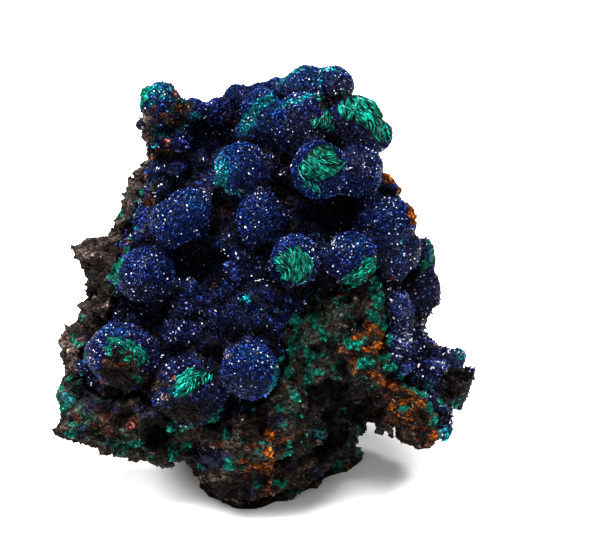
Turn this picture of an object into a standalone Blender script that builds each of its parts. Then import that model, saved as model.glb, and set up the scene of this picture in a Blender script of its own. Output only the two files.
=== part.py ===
"""Azurite with malachite on iron-oxide rock: a hand specimen about 6 cm tall, standing on its broken base.

The specimen is described in the frame of its azurite face, in millimetres: u runs across the face to the
right, v up along it, and w straight out of it. The face leans back from upright by LEAN, and the rock's
lowest front point is at u = v = w = 0. The finished pieces are in metres, +Z up, with the face towards -Y
and the origin on the ground under the middle of the specimen.
"""

import math
import random

import bmesh
import bpy
from mathutils import Euler, Matrix, Vector
from mathutils.bvhtree import BVHTree

MM = 0.001
LEAN = math.radians(25)

# Millimetres: the gap between neighbouring pieces, the thickness of the azurite crust, how far behind the
# face it wraps round the edges, and the grain of the voxel meshes.
GAP = 0.3
SKIN = 1.8
WRAP = 6.0
WRAP_CHANGE = 1.4
VOXEL = 0.6
LUMP_TRIANGLES = 4850

# The noises that roughen the surface: kind, size and depth in millimetres, and the grey that stays put.
BROKEN_ROCK = ("VORONOI", 5.0, 3.0, 0.65)
UNEVEN = ("CLOUDS", 3.0, 1.2, 0.5)
FINE = ("CLOUDS", 2.2, 0.5, 0.5)

# The place on the ground that becomes the origin, in millimetres from the rock's lowest front point.
STAND = (0.9, 14.15)

# The inner block that everything grows on: corners of a convex body, as (u, v, w).
CORE = [
    (-15, 54, 3), (-18, 43, 5), (-21, 29, 6), (-22, 18, 6),
    (-10, 57, 3), (-4, 58, 6), (6, 59, 8), (14, 58, 5), (16, 52, 6),
    (19, 44, 4), (21, 32, 6), (22, 20, 6),
    (-12, 49, 9), (-3, 50, 11), (6, 55, 11), (8, 49, 13), (14, 50, 9),
    (-11, 42, 10), (-17, 34, 9), (0, 43, 12), (5, 37, 14), (13, 37, 12),
    (-12, 27, 12), (-18, 21, 9), (-10, 19, 11), (-2, 21, 14), (2, 28, 14), (10, 20, 11),
    (-7, 5, -1), (-2, 3, 0), (5, 5, -1), (12, 9, -2),
    (-10, 51, -8), (8, 53, -9), (-18, 35, -17), (17, 38, -18), (0, 36, -23),
    (-9, 14, -25), (11, 14, -25),
]

# The block under the core that the specimen stands on, which reaches a little below the ground and is cut
# off flat there.
KEEL = [
    (-9.2, 3.6, -10), (-7.6, 0.2, -2.5), (-2, -1.8, 0), (3.0, -0.4, -2), (8.8, 3.0, -8.5), (15, 5.8, -15),
    (12.5, 10.4, -27), (-9, 10.4, -27), (-12.6, 7.2, -19),
    (-12, 8.5, 5), (0, 12, 10), (12, 13, 8), (16, 12, 0), (15.5, 14, -14),
]

# Broken blocks of rock on the core: (u, v, w) of the centre, then half of each side, then a turn in degrees.
BLOCKS = {
    "ledge_upper": ((-21.6, 37.6, -3), (5.2, 2.4, 8), 12),
    "ledge_lower": ((-21.6, 32.6, -3), (4.6, 2.9, 8), -15),
    "flank_top": ((-15.4, 47.5, -1), (3.4, 6, 7), 18),
    "flank_upper": ((-17.2, 42.5, -2), (4, 5.5, 8), 15),
    "flank_mid": ((-21.4, 28, -3), (5.0, 5, 9), 0),
    "flank_low": ((-23.4, 23.5, -3), (6.0, 5.2, 9), 10),
    "flank_foot": ((-23.8, 17.5, -2), (5.8, 5.8, 9), -10),
    "corner": ((-28.4, 12.9, 1), (2.3, 2.1, 3), 20),
    "shelf": ((-22.8, 12.5, 3), (6.3, 4.1, 6), -8),
    "shelf_tip": ((-16.2, 9.3, 3), (5.8, 4.3, 6), -12),
    "brow": ((-15, 14, 8), (7.5, 5, 5), -10),
    "lip": ((-2, 11, 8), (9, 5.5, 5), 0),
    "lip_right": ((4.2, 15.4, 9.5), (4.6, 6.2, 4.5), 25),
    "slab": ((-4.2, 2.8, 0.2), (4.8, 1.8, 2.0), -7),
    "arm": ((19.5, 15.7, 4), (6.8, 4.2, 7), -22),
    "foot": ((24.2, 11.7, 4), (4.1, 2.5, 6), -5),
    "slope": ((14.5, 25, 9), (7.2, 9.5, 4.5), -22),
    "arm_side": ((25.2, 14.6, 1.0), (2.6, 3.8, 5), 0),
    "nub": ((27.2, 18.3, -2), (3.8, 4.4, 7), 5),
    "side_low": ((23.6, 21.0, -3), (5.0, 5, 10), 0),
    "side_mid": ((20.4, 28, -3), (4.0, 5, 10), 0),
    "side_up": ((17.4, 38, -3), (5, 8, 9), 10),
    "side_top": ((16.2, 45.5, -2), (4.4, 5.5, 7), 18),
    "horn": ((-14.2, 55.4, 4), (3.4, 4.6, 5), 8),
    "ridge": ((-6.8, 57.2, 2), (5.5, 3, 5), 5),
    "crown": ((8.4, 59.0, 1), (6.6, 3.2, 6), 0),
    "crown_right": ((13.8, 53.6, 2), (4.0, 5.4, 6), 20),
    "back_left": ((-13, 39, -13), (7, 9, 6), 20),
    "back_right": ((12, 41, -14), (7, 9, 6), -20),
    "back_mid": ((-2, 45, -13), (8, 8, 6), 10),
    "back_low": ((3, 24, -25), (11, 9, 5), -10),
    "back_low_left": ((-14, 22, -20), (7, 8, 7), 15),
    "back_low_right": ((15, 23, -19), (7, 8, 7), -25),
}
BLOCK_POINTS = 18
BLOCK_SCATTER = 0.4
BLOCK_REACH = (0.92, 1.12)
BLOCK_ROUNDNESS = 0.75
GOLDEN_ANGLE = math.pi * (3 - math.sqrt(5))

# Azurite balls: (u, v, w) of the centre, then the radius.
BALLS = {
    "knob": (-14.9, 59.9, 8, 2.9),
    "bead_a": (-9.4, 59.2, 6, 1.5),
    "bead_b": (-6.7, 58.6, 6, 1.8),
    "bead_c": (-3.6, 60.2, 5, 2.0),
    "bead_d": (-0.1, 60.6, 5, 1.9),
    "bead_e": (2.2, 61.4, 5, 1.8),
    "crest": (6.6, 61.3, 6, 3.6),
    "crest_right": (10.4, 61.8, 6, 3.0),
    "north_west": (-0.1, 58.4, 10, 2.8),
    "north_west_low": (-0.4, 55.6, 10, 2.7),
    "north": (5.8, 56.3, 13, 4.2),
    "north_east": (13.6, 56.4, 11, 3.9),
    "north_east_tip": (16.4, 54.6, 9, 2.6),
    "chief": (8.3, 49.3, 17, 4.1),
    "chief_right": (14.0, 49.3, 12, 3.7),
    "west": (-2.9, 49.6, 14, 3.8),
    "far_west": (-10.6, 43.3, 12, 3.5),
    "far_west_low": (-13.0, 41.8, 12, 3.3),
    "middle": (-0.1, 42.6, 15, 3.6),
    "disc": (4.9, 36.5, 17, 3.6),
    "east": (12.9, 36.8, 15, 3.7),
    "shoulder": (17.6, 41.7, 10, 4.0),
    "shoulder_low": (19.6, 37.6, 8, 3.3),
    "south_west": (-17.0, 34.3, 11, 3.9),
    "corner_ball": (-20.4, 22.8, 11, 4.7),
    "south": (-1.7, 20.6, 17, 4.1),
    "shell": (-10.4, 17.4, 12, 4.9),
    "side_a": (22.8, 37.4, 2, 2.4),
    "side_b": (23.6, 32.2, 1, 2.6),
    "side_c": (28.6, 22.4, 1, 1.4),
}
BALL_SUBDIVISIONS = 3

# The root of a ball: where it ends, as shares of the ball's u and v, then how far up and how far behind the
# face, in millimetres; its radius at each end as shares of the ball's; and its number of sides.
ROOT_SHARES = (0.5, 0.75)
ROOT_RAISE = 7.0
ROOT_BEHIND = 5.0
ROOT_TAPER = (0.9, 0.6)
ROOT_SIDES = 10

# Lumps of azurite druse between the balls, which sit on the core: (u, v) of the centre, then the radius.
LUMPS = [
    (-14.1, 54.6, 2.0), (-10.6, 56.9, 1.4), (-8.3, 57.8, 1.5), (-5.4, 57.4, 1.7), (-3.4, 54.0, 1.6),
    (-15.2, 48.6, 2.0), (-16.0, 46.0, 1.6), (1.9, 49.6, 2.4), (3.3, 52.6, 1.8), (1.2, 46.6, 1.5),
    (11.3, 53.2, 1.7), (-17.6, 39.2, 1.6), (-13.6, 37.2, 1.4), (-18.6, 38.6, 1.4), (-2.5, 38.0, 2.1),
    (-3.6, 34.4, 1.9), (0.4, 35.0, 1.9), (-6.6, 31.4, 1.5), (2.6, 31.6, 2.0), (-3.4, 31.2, 2.1),
    (-7.2, 28.9, 1.9), (0.0, 29.8, 2.1), (-1.4, 26.6, 2.0), (-11.2, 30.2, 1.6), (2.2, 26.4, 2.3),
    (-4.4, 27.6, 1.9), (-10.6, 28.0, 2.1), (-12.4, 25.2, 2.4), (6.2, 31.0, 1.6), (-8.6, 24.4, 2.4),
    (-5.4, 23.8, 2.0), (-13.9, 21.4, 2.0), (-20.4, 31.2, 1.7), (-15.0, 24.2, 1.5), (16.2, 47.0, 1.9),
    (9.6, 36.6, 1.6), (16.6, 37.4, 1.8), (19.4, 32.0, 1.8), (19.8, 27.6, 1.7), (21.0, 23.4, 1.7),
    (23.0, 19.8, 1.6),
]
LUMP_RISE = 0.25

# Deep hollows between the balls and in the broken rock: (u, v) of the centre, half the width and height
# of the mouth, and the depth. Those of the first list are lined with azurite.
LINED_HOLLOWS = [
    (-8.0, 53.0, 4.4, 3.5, 5.5),
    (-9.0, 48.6, 3.0, 2.4, 4.5),
    (9.9, 42.9, 5.6, 3.2, 6.0),
    (-8.3, 35.8, 4.0, 4.4, 6.0),
    (-17.0, 28.4, 4.0, 2.9, 4.5),
    (-5.9, 43.0, 1.8, 4.2, 4.5),
    (3.2, 46.0, 1.6, 2.2, 4.0),
    (-12.6, 46.4, 2.4, 1.3, 3.5),
    (8.8, 33.2, 2.0, 1.6, 3.5),
    (25.6, 18.8, 1.6, 2.8, 4.0),
]
ROCK_HOLLOWS = [
    (-14.9, 11.0, 2.4, 2.6, 5.0),
    (15.4, 15.0, 3.8, 2.4, 4.6),
    (10.0, 10.5, 3.2, 4.6, 4.0),
    (9.4, 15.8, 4.0, 4.2, 4.5),
    (-4.0, 7.6, 2.6, 1.8, 3.0),
    (-20.3, 21.6, 3.0, 2.8, 1.6),
]
HOLLOW_SUBDIVISIONS = 2

# The edge of the azurite, as (u, v): down the left side, along the broken rock at the bottom, up and over
# the slope at the right, out past the right side, and back over the top.
FIELD = [
    (-19.5, 63.0), (-19.2, 57.0), (-17.6, 52.0), (-17.7, 47.4), (-19.6, 43.0), (-20.7, 36.2),
    (-21.4, 30.7), (-22.0, 27.1), (-23.8, 25.2), (-25.5, 23.2), (-26.4, 19.9), (-25.5, 17.4), (-22.0, 16.8),
    (-17.7, 16.5), (-15.1, 14.5), (-11.9, 12.5), (-7.2, 12.8), (-3.2, 14.8), (0.9, 16.2), (3.0, 18.8),
    (3.6, 22.8), (3.8, 25.7), (5.5, 29.0), (7.2, 31.9), (10.6, 31.6), (15.9, 35.0), (17.7, 33.6),
    (18.2, 30.0), (18.4, 25.2), (20.0, 21.2), (22.4, 18.0), (24.1, 15.0), (25.2, 12.0), (25.6, 8.6),
    (36.0, 8.6), (36.0, 70.0), (-19.5, 70.0),
]
FIELD_FRONT = 40.0
RAGGED_STEP = 3.2
RAGGED_DEPTH = 0.6
SHARPEST = 0.5

# Malachite tufts on the balls: the ball, the way from its centre as (u, v, w), the radius over the ball's
# surface, how far it stands proud, and the twist of its fibres in degrees.
TUFTS = {
    "chief": ("chief", (0.06, 0.35, 0.94), 3.1, 1.3, 70),
    "disc": ("disc", (-0.15, -0.20, 0.97), 2.8, 0.6, 150),
    "north_east": ("north_east", (0.38, 0.22, 0.90), 3.7, 0.7, 20),
    "north": ("north", (0.72, 0.18, 0.64), 2.0, 0.6, -30),
    "east": ("east", (0.22, -0.52, 0.79), 2.6, 0.7, 40),
    "shell": ("shell", (0.08, 0.42, 0.90), 2.4, 0.6, 30),
}
TUFT_ROOT = 0.9
TUFT_RIDGE = 0.25
TUFT_SPOKES = 16
TUFT_RINGS = 3
TUFT_TAPER = 0.9
POCKET_SIDES = 16
POCKET_RISE = 6.0

# The materials: base colour, then roughness.
MATERIALS = {
    "matrix": ((0.06, 0.03, 0.02), 0.9),
    "azurite": ((0.01, 0.02, 0.20), 0.45),
    "malachite": ((0.02, 0.30, 0.20), 0.8),
}

# The ground that the base is cut off against, as corners of a block in metres.
GROUND = [(x, y, z) for x in (-0.1, 0.1) for y in (-0.1, 0.1) for z in (-0.05, 0.0)]


def at(u, v, w):
    """A point of the azurite face's frame, in metres."""
    y = v * math.sin(LEAN) - w * math.cos(LEAN)
    z = v * math.cos(LEAN) + w * math.sin(LEAN)
    return Vector((u, y, z)) * MM


OUT = (at(0, 0, 1) - at(0, 0, 0)).normalized()


def new_object(name, mesh_maker):
    """An object whose mesh is filled by mesh_maker(bm)."""
    mesh = bpy.data.meshes.new(name)
    bm = bmesh.new()
    mesh_maker(bm)
    bm.to_mesh(mesh)
    bm.free()
    obj = bpy.data.objects.new(name, mesh)
    bpy.context.scene.collection.objects.link(obj)
    return obj


def hull(points):
    """A maker of the convex hull of some points."""

    def make(bm):
        for p in points:
            bm.verts.new(p)
        found = bmesh.ops.convex_hull(bm, input=bm.verts)
        loose = set(found["geom_interior"]) | set(found["geom_unused"])
        bmesh.ops.delete(bm, geom=[g for g in loose if isinstance(g, bmesh.types.BMVert)], context="VERTS")
        bmesh.ops.recalc_face_normals(bm, faces=bm.faces)

    return make


def grow(obj, distance):
    """Moves the object's faces outwards by a distance in millimetres, or inwards if it is negative."""
    bm = bmesh.new()
    bm.from_mesh(obj.data)
    bm.normal_update()
    moved = [v.co + v.normal * distance * MM * v.calc_shell_factor() for v in bm.verts]
    for vert, place in zip(bm.verts, moved):
        vert.co = place
    bm.to_mesh(obj.data)
    bm.free()
    return obj


def block(name, centre, half, turn):
    """A broken block: the hull of points scattered over a rounded box, turned about the face's outward axis."""
    rng = random.Random(name)
    points = []
    for i in range(BLOCK_POINTS):
        z = 1 - 2 * (i + 0.5) / BLOCK_POINTS
        angle = i * GOLDEN_ANGLE + rng.uniform(-BLOCK_SCATTER, BLOCK_SCATTER)
        flat = math.sqrt(1 - z * z)
        direction = Vector((flat * math.cos(angle), flat * math.sin(angle), z))
        squarer = [math.copysign(abs(d) ** BLOCK_ROUNDNESS, d) for d in direction]
        reach = rng.uniform(*BLOCK_REACH)
        local = Vector([d * h * reach for d, h in zip(squarer, half)])
        local.rotate(Euler((0, 0, math.radians(turn))))
        points.append(at(*(Vector(centre) + local)))
    return new_object(name, hull(points))


def ball(name, u, v, w, radius):
    """A round ball of azurite, with a root that ties it to the core."""
    centre = at(u, v, w)
    end = at(ROOT_SHARES[0] * u, ROOT_SHARES[1] * v + ROOT_RAISE, -ROOT_BEHIND)
    inward = end - centre
    turn = inward.to_track_quat("Z", "Y").to_matrix().to_4x4()
    middle = Matrix.Translation((centre + end) / 2) @ turn
    near, far = (share * radius * MM for share in ROOT_TAPER)

    def make(bm):
        place = Matrix.Translation(centre)
        bmesh.ops.create_icosphere(bm, subdivisions=BALL_SUBDIVISIONS, radius=radius * MM, matrix=place)
        bmesh.ops.create_cone(
            bm, cap_ends=True, segments=ROOT_SIDES, radius1=near, radius2=far, depth=inward.length, matrix=middle
        )

    return new_object(name, make)


def surface_at(tree, u, v):
    """How high the core's surface lies at (u, v), or close by where the core doesn't reach that far."""
    hit = tree.ray_cast(at(u, v, FIELD_FRONT), -OUT)[0]
    if hit is None:
        hit = tree.find_nearest(at(u, v, 0))[0]
    return (hit - at(0, 0, 0)).dot(OUT) / MM


def hollow(tree, u, v, half_u, half_v, depth, extra=0.0):
    """An egg-shaped cutter whose middle lies on the core's surface, larger all round by extra."""
    w = surface_at(tree, u, v)
    size = (half_u + extra, half_v + extra, depth + extra)

    def make(bm):
        bmesh.ops.create_icosphere(bm, subdivisions=HOLLOW_SUBDIVISIONS, radius=1)
        for vert in bm.verts:
            du, dv, dw = (c * s for c, s in zip(vert.co, size))
            vert.co = at(u + du, v + dv, w + dw)

    return new_object("hollow", make)


def joined(name, parts):
    """One object holding the meshes of several, which are removed."""
    bm = bmesh.new()
    for part in parts:
        bm.from_mesh(part.data)
        bpy.data.objects.remove(part)
    obj = new_object(name, lambda empty: None)
    bm.to_mesh(obj.data)
    bm.free()
    return obj


def bake(obj):
    """Applies the object's modifiers to its mesh."""
    graph = bpy.context.evaluated_depsgraph_get()
    mesh = bpy.data.meshes.new_from_object(obj.evaluated_get(graph))
    obj.modifiers.clear()
    obj.data = mesh
    return obj


def fuse(obj):
    """Makes one closed skin of overlapping bodies."""
    modifier = obj.modifiers.new("fuse", "REMESH")
    modifier.mode = "VOXEL"
    modifier.voxel_size = VOXEL * MM
    return bake(obj)


def roughen(obj, kind, size, depth, middle):
    """Pushes the surface in and out by a solid noise, with size and depth in millimetres."""
    texture = bpy.data.textures.new(kind, kind)
    texture.noise_scale = size * MM
    modifier = obj.modifiers.new("roughen", "DISPLACE")
    modifier.texture = texture
    modifier.texture_coords = "LOCAL"
    modifier.mid_level = middle
    modifier.strength = depth * MM
    return bake(obj)


def cut(obj, cutter, operation="DIFFERENCE", keep_cutter=False):
    """Cuts the object with another, or keeps what they share."""
    modifier = obj.modifiers.new("cut", "BOOLEAN")
    modifier.operation = operation
    modifier.object = cutter
    bake(obj)
    if not keep_cutter:
        bpy.data.objects.remove(cutter)
    return obj


def thin_out(obj, triangles):
    """Triangulates the mesh and reduces it to a number of triangles."""
    obj.modifiers.new("triangles", "TRIANGULATE")
    bake(obj)
    modifier = obj.modifiers.new("thin", "DECIMATE")
    modifier.ratio = triangles / len(obj.data.polygons)
    return bake(obj)


def largest_piece(obj):
    """Keeps only the largest connected piece of the mesh, as triangles."""
    bm = bmesh.new()
    bm.from_mesh(obj.data)
    bmesh.ops.triangulate(bm, faces=bm.faces)
    left = set(bm.verts)
    pieces = []
    while left:
        stack = [left.pop()]
        piece = set(stack)
        while stack:
            for edge in stack.pop().link_edges:
                for vert in edge.verts:
                    if vert not in piece:
                        piece.add(vert)
                        left.discard(vert)
                        stack.append(vert)
        pieces.append(piece)
    pieces.sort(key=len)
    crumbs = [vert for piece in pieces[:-1] for vert in piece]
    bmesh.ops.delete(bm, geom=crumbs, context="VERTS")
    bm.to_mesh(obj.data)
    bm.free()
    return obj


def core_object():
    """The inner block, as a convex body."""
    return new_object("core", hull([at(*p) for p in CORE]))


def specimen_lump(tree):
    """The whole specimen as one rough body, with its base cut off flat at the ground."""
    rock = [core_object(), new_object("keel", hull([at(*p) for p in KEEL]))]
    rock += [block(name, *spec) for name, spec in BLOCKS.items()]
    for u, v, radius in LUMPS:
        rock.append(ball("druse", u, v, surface_at(tree, u, v) + LUMP_RISE * radius, radius))
    lump = fuse(joined("specimen", rock))
    for spec in LINED_HOLLOWS + ROCK_HOLLOWS:
        cut(lump, hollow(tree, *spec))
    roughen(lump, *BROKEN_ROCK)
    roughen(lump, *UNEVEN)
    balls = [ball(name, *spec) for name, spec in BALLS.items()]
    lump = fuse(joined("specimen", [lump] + balls))
    roughen(lump, *FINE)
    thin_out(fuse(lump), LUMP_TRIANGLES)
    ground = new_object("ground", hull([Vector(p) for p in GROUND]))
    return largest_piece(cut(lump, ground))


def ragged(outline, step, depth):
    """The outline with points added between its corners, each moved a little and with its own reach back."""
    rng = random.Random("edge")
    points = []
    for (u0, v0), (u1, v1) in zip(outline, outline[1:] + outline[:1]):
        count = max(1, round(math.hypot(u1 - u0, v1 - v0) / step))
        for i in range(count):
            share = i / count
            du, dv = rng.uniform(-depth, depth), rng.uniform(-depth, depth)
            back = -WRAP + rng.uniform(-WRAP_CHANGE, WRAP_CHANGE)
            points.append((u0 + (u1 - u0) * share + du, v0 + (v1 - v0) * share + dv, back))
    return points


def inward_steps(outline, distance):
    """For each corner of an outline that runs round anticlockwise, the step that draws it in by a distance."""
    steps = []
    for before, here, after in zip(outline[-1:] + outline[:-1], outline, outline[1:] + outline[:1]):
        sides = []
        for start, end in ((before, here), (here, after)):
            side = Vector((start[1] - end[1], end[0] - start[0]))
            sides.append(side.normalized())
        middle = (sides[0] + sides[1]).normalized()
        steps.append(middle * distance / max(middle.dot(sides[0]), SHARPEST))
    return steps


def field_prism(gap):
    """The space that the azurite takes up, drawn in by a gap, and by twice that at its uneven back."""
    outline = ragged(FIELD, RAGGED_STEP, RAGGED_DEPTH)
    steps = inward_steps(outline, gap)

    def make(bm):
        back = [bm.verts.new(at(u, v, -WRAP)) for u, v, w in outline]
        front = [bm.verts.new(at(u, v, FIELD_FRONT)) for u, v, w in outline]
        bm.faces.new(back)
        bm.faces.new(front)
        for i in range(len(outline)):
            bm.faces.new((back[i - 1], back[i], front[i], front[i - 1]))
        bmesh.ops.triangulate(bm, faces=bm.faces)
        bmesh.ops.recalc_face_normals(bm, faces=bm.faces)
        for (u, v, w), step, ahead, behind in zip(outline, steps, front, back):
            ahead.co = at(u + step.x, v + step.y, FIELD_FRONT)
            behind.co = at(u + step.x, v + step.y, w + 2 * gap)

    return new_object("field", make)


def heart(tree, gap):
    """The rock under the azurite crust, with the lined hollows, grown by a gap in millimetres."""
    body = grow(core_object(), gap - SKIN)
    for spec in LINED_HOLLOWS:
        cut(body, hollow(tree, *spec, extra=SKIN - gap))
    return body


def close_up(bm, top, rings, bottom):
    """Triangles from the top over a row of rings of the same count to the bottom."""
    count = len(rings[0])
    for i in range(count):
        after = (i + 1) % count
        bm.faces.new((top, rings[0][i], rings[0][after]))
        bm.faces.new((bottom, rings[-1][after], rings[-1][i]))
        for near, far in zip(rings, rings[1:]):
            bm.faces.new((near[i], far[i], far[after], near[after]))
    bmesh.ops.triangulate(bm, faces=bm.faces)
    bmesh.ops.recalc_face_normals(bm, faces=bm.faces)


def tuft(name, ball_name, way, radius, rise, twist):
    """A cap of malachite fibres on a ball, with twisted ridges from its middle to its edge, and its pocket."""
    u, v, w, size = BALLS[ball_name]
    centre = at(u, v, w)
    axis = (at(*way) - at(0, 0, 0)).normalized()
    turn = axis.to_track_quat("Z", "Y")
    spread = radius / size

    def place(tilt, around, reach):
        local = Vector((math.sin(tilt) * math.cos(around), math.sin(tilt) * math.sin(around), math.cos(tilt)))
        return centre + turn @ (local * reach * MM)

    def ring(bm, tilt, twisted, reaches):
        """Corners round the axis at one tilt from it, one for each reach."""
        step = 2 * math.pi / len(reaches)
        return [bm.verts.new(place(tilt, i * step + twisted, reach)) for i, reach in enumerate(reaches)]

    def make(bm):
        rings = []
        for k in range(1, TUFT_RINGS + 1):
            share = k / TUFT_RINGS
            reach = size + rise * (1 - share ** 3)
            ridges = [reach + (TUFT_RIDGE if i % 2 else -TUFT_RIDGE) for i in range(TUFT_SPOKES)]
            rings.append(ring(bm, spread * share, math.radians(twist) * share, ridges))
        root = [size - TUFT_ROOT] * TUFT_SPOKES
        rings.append(ring(bm, spread * TUFT_TAPER, math.radians(twist), root))
        top = bm.verts.new(place(0, 0, size + rise))
        bottom = bm.verts.new(place(0, 0, size - TUFT_ROOT))
        close_up(bm, top, rings, bottom)

    def pocket(bm):
        wide = spread + GAP / size
        high = size + POCKET_RISE
        low = size - TUFT_ROOT - GAP
        rings = [ring(bm, wide, 0, [reach] * POCKET_SIDES) for reach in (high, low)]
        close_up(bm, bm.verts.new(place(0, 0, high)), rings, bm.verts.new(place(0, 0, low)))

    return new_object(name, make), new_object("pocket", pocket)


def finish(obj, name, kind):
    """Names the piece, puts it on the origin and gives it a material of its own."""
    colour, roughness = MATERIALS[kind]
    obj.name = name
    obj.data.name = name
    obj.data.transform(Matrix.Translation(Vector((-STAND[0], -STAND[1], 0)) * MM))
    material = bpy.data.materials.new(name)
    material.use_nodes = True
    shader = material.node_tree.nodes["Principled BSDF"]
    shader.inputs["Base Color"].default_value = (*colour, 1)
    shader.inputs["Roughness"].default_value = roughness
    obj.data.materials.clear()
    obj.data.materials.append(material)
    return obj


def main():
    for obj in list(bpy.data.objects):
        bpy.data.objects.remove(obj)
    guide = core_object()
    tree = BVHTree.FromObject(guide, bpy.context.evaluated_depsgraph_get())
    bpy.data.objects.remove(guide)

    lump = specimen_lump(tree)
    azurite = new_object("azurite", lambda empty: None)
    azurite.data = lump.data.copy()
    crust = cut(field_prism(0), heart(tree, 0))
    matrix = cut(lump, crust)
    cut(azurite, field_prism(GAP), "INTERSECT")
    cut(azurite, heart(tree, GAP))
    for name, spec in TUFTS.items():
        piece, pocket = tuft("malachite_" + name, *spec)
        cut(azurite, pocket, keep_cutter=True)
        cut(matrix, pocket)
        finish(piece, "malachite_" + name, "malachite")
    finish(largest_piece(matrix), "matrix", "matrix")
    finish(largest_piece(azurite), "azurite", "azurite")


main()
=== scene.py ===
# %% [markdown]
# # An azurite specimen
# This script dresses a hand specimen of azurite and malachite on iron-oxide rock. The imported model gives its
# plain solids at their real size. Here they get their fine surface: broken rock, a druse of tiny crystals,
# and tufts of green fibres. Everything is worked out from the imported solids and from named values.

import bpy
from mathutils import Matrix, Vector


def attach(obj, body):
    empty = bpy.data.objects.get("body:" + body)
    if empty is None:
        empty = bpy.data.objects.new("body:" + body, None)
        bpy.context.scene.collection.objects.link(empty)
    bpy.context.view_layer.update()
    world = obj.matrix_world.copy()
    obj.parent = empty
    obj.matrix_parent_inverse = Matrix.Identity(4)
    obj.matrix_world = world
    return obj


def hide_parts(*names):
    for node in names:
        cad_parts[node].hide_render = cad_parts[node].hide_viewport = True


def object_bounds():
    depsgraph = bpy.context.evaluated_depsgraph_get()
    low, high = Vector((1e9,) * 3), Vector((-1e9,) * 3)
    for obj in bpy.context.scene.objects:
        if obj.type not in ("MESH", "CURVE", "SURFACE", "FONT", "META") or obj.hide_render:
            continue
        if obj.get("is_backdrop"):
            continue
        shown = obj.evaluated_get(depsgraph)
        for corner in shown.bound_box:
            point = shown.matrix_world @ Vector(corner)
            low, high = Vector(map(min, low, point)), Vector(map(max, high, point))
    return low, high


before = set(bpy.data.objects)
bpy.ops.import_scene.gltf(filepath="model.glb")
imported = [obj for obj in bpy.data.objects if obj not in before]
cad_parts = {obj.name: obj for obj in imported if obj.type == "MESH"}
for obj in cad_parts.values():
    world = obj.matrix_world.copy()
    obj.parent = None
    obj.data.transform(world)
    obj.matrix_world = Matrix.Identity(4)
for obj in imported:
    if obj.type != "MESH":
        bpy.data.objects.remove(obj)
solid_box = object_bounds()
print("solids:", sorted(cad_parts))

# %% [markdown]
# ## The face's own directions
# The azurite grows on one face of the rock, which leans back. Places on it are easiest to give in the face's
# own directions, in millimetres: u across, v up along the face, w straight out of it. One short function
# turns such places into the model's metres, and another turns them back.

# %% Directions of the azurite face
import math

import bpy
import numpy as np
from mathutils import Vector
from mathutils.bvhtree import BVHTree

MM = 0.001
LEAN = math.radians(25)
FACE_FOOT = np.array((-0.9, -14.15, 0.0))
ACROSS = np.array((1.0, 0.0, 0.0))
UPWARD = np.array((0.0, math.sin(LEAN), math.cos(LEAN)))
OUTWARD = np.array((0.0, -math.cos(LEAN), math.sin(LEAN)))


def to_world(places):
    """Places (u, v, w) in millimetres, as points in metres."""
    places = np.asarray(places, float)
    axes = np.stack((ACROSS, UPWARD, OUTWARD))
    return (places @ axes + FACE_FOOT) * MM


def to_face(points):
    """Points in metres, as places (u, v, w) in millimetres."""
    moved = np.asarray(points) / MM - FACE_FOOT
    return moved @ np.stack((ACROSS, UPWARD, OUTWARD), axis=1)


print("the face's foot is at", to_world((0, 0, 0)).round(4))

# %% [markdown]
# ## The camera
# A small thing seen large is best looked at from a distance through a long lens, which keeps its
# proportions. The camera looks straight at the leaning face. Its lens is worked out from how much width the
# picture shows. Lengths are kept in millimetres, because they are easy to read so, and MM turns them into
# Blender's metres.

# %% Camera
PICTURE_WIDTH = 600
PIXELS_PER_MM = 6.9
LOOK_AT = (5.5, 33.6, 8.0)
CAMERA_DISTANCE = 600.0
SENSOR = 36.0


def make_camera():
    """A long-lens camera square to the azurite face."""
    camera = bpy.data.objects.new("camera", bpy.data.cameras.new("camera"))
    bpy.context.scene.collection.objects.link(camera)
    camera.location = to_world((LOOK_AT[0], LOOK_AT[1], LOOK_AT[2] + CAMERA_DISTANCE))
    camera.rotation_mode = "QUATERNION"
    camera.rotation_quaternion = Vector(-OUTWARD).to_track_quat("-Z", "Y")
    camera.data.sensor_width = SENSOR
    camera.data.lens = SENSOR * CAMERA_DISTANCE * PIXELS_PER_MM / PICTURE_WIDTH
    bpy.context.scene.camera = camera
    return camera


camera = make_camera()
print("lens:", round(camera.data.lens), "mm")

# %% [markdown]
# ## A helper for nodes
# A material or a surround is a small graph of nodes. Making one node takes several lines that are always
# alike, so one helper makes the node, sets its values and joins its inputs to what feeds them.

# %% Node helpers
def add_node(tree, kind, inputs, **settings):
    """A new node; each input gets a value, or a link where it is given another node's output."""
    node = tree.nodes.new("ShaderNode" + kind)
    for name, value in settings.items():
        setattr(node, name, value)
    for name, value in inputs.items():
        if isinstance(value, bpy.types.NodeSocket):
            tree.links.new(value, node.inputs[name])
        else:
            node.inputs[name].default_value = value
    return node


def new_material(name, roughness):
    """A material of this roughness, and its shader."""
    material = bpy.data.materials.new(name)
    material.use_nodes = True
    shader = material.node_tree.nodes["Principled BSDF"]
    shader.inputs["Roughness"].default_value = roughness
    return material, shader


print("node helpers are ready")

# %% [markdown]
# ## The floor
# The specimen stands on a pale sweep. A real one is lit by lamps of its own, so shadows on it stay pale.
# Here the floor glows a little instead, more with the distance from the foot. The glow is seen by the
# camera only, so it lights nothing.

# %% Floor
FLOOR_METRES = 6.0
FLOOR_COLOUR = (0.9, 0.895, 0.88, 1.0)
FLOOR_ROUGHNESS = 0.7
WHITE = (1.0, 1.0, 1.0, 1.0)
# The glow near its centre and far away, the distances between which it grows, and the centre (x, y, z).
FLOOR_GLOW = (0.03, 0.79)
GLOW_REACH = (14.9, 22.9)
GLOW_CENTRE = (3.2, -0.7, 0.0)


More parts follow.
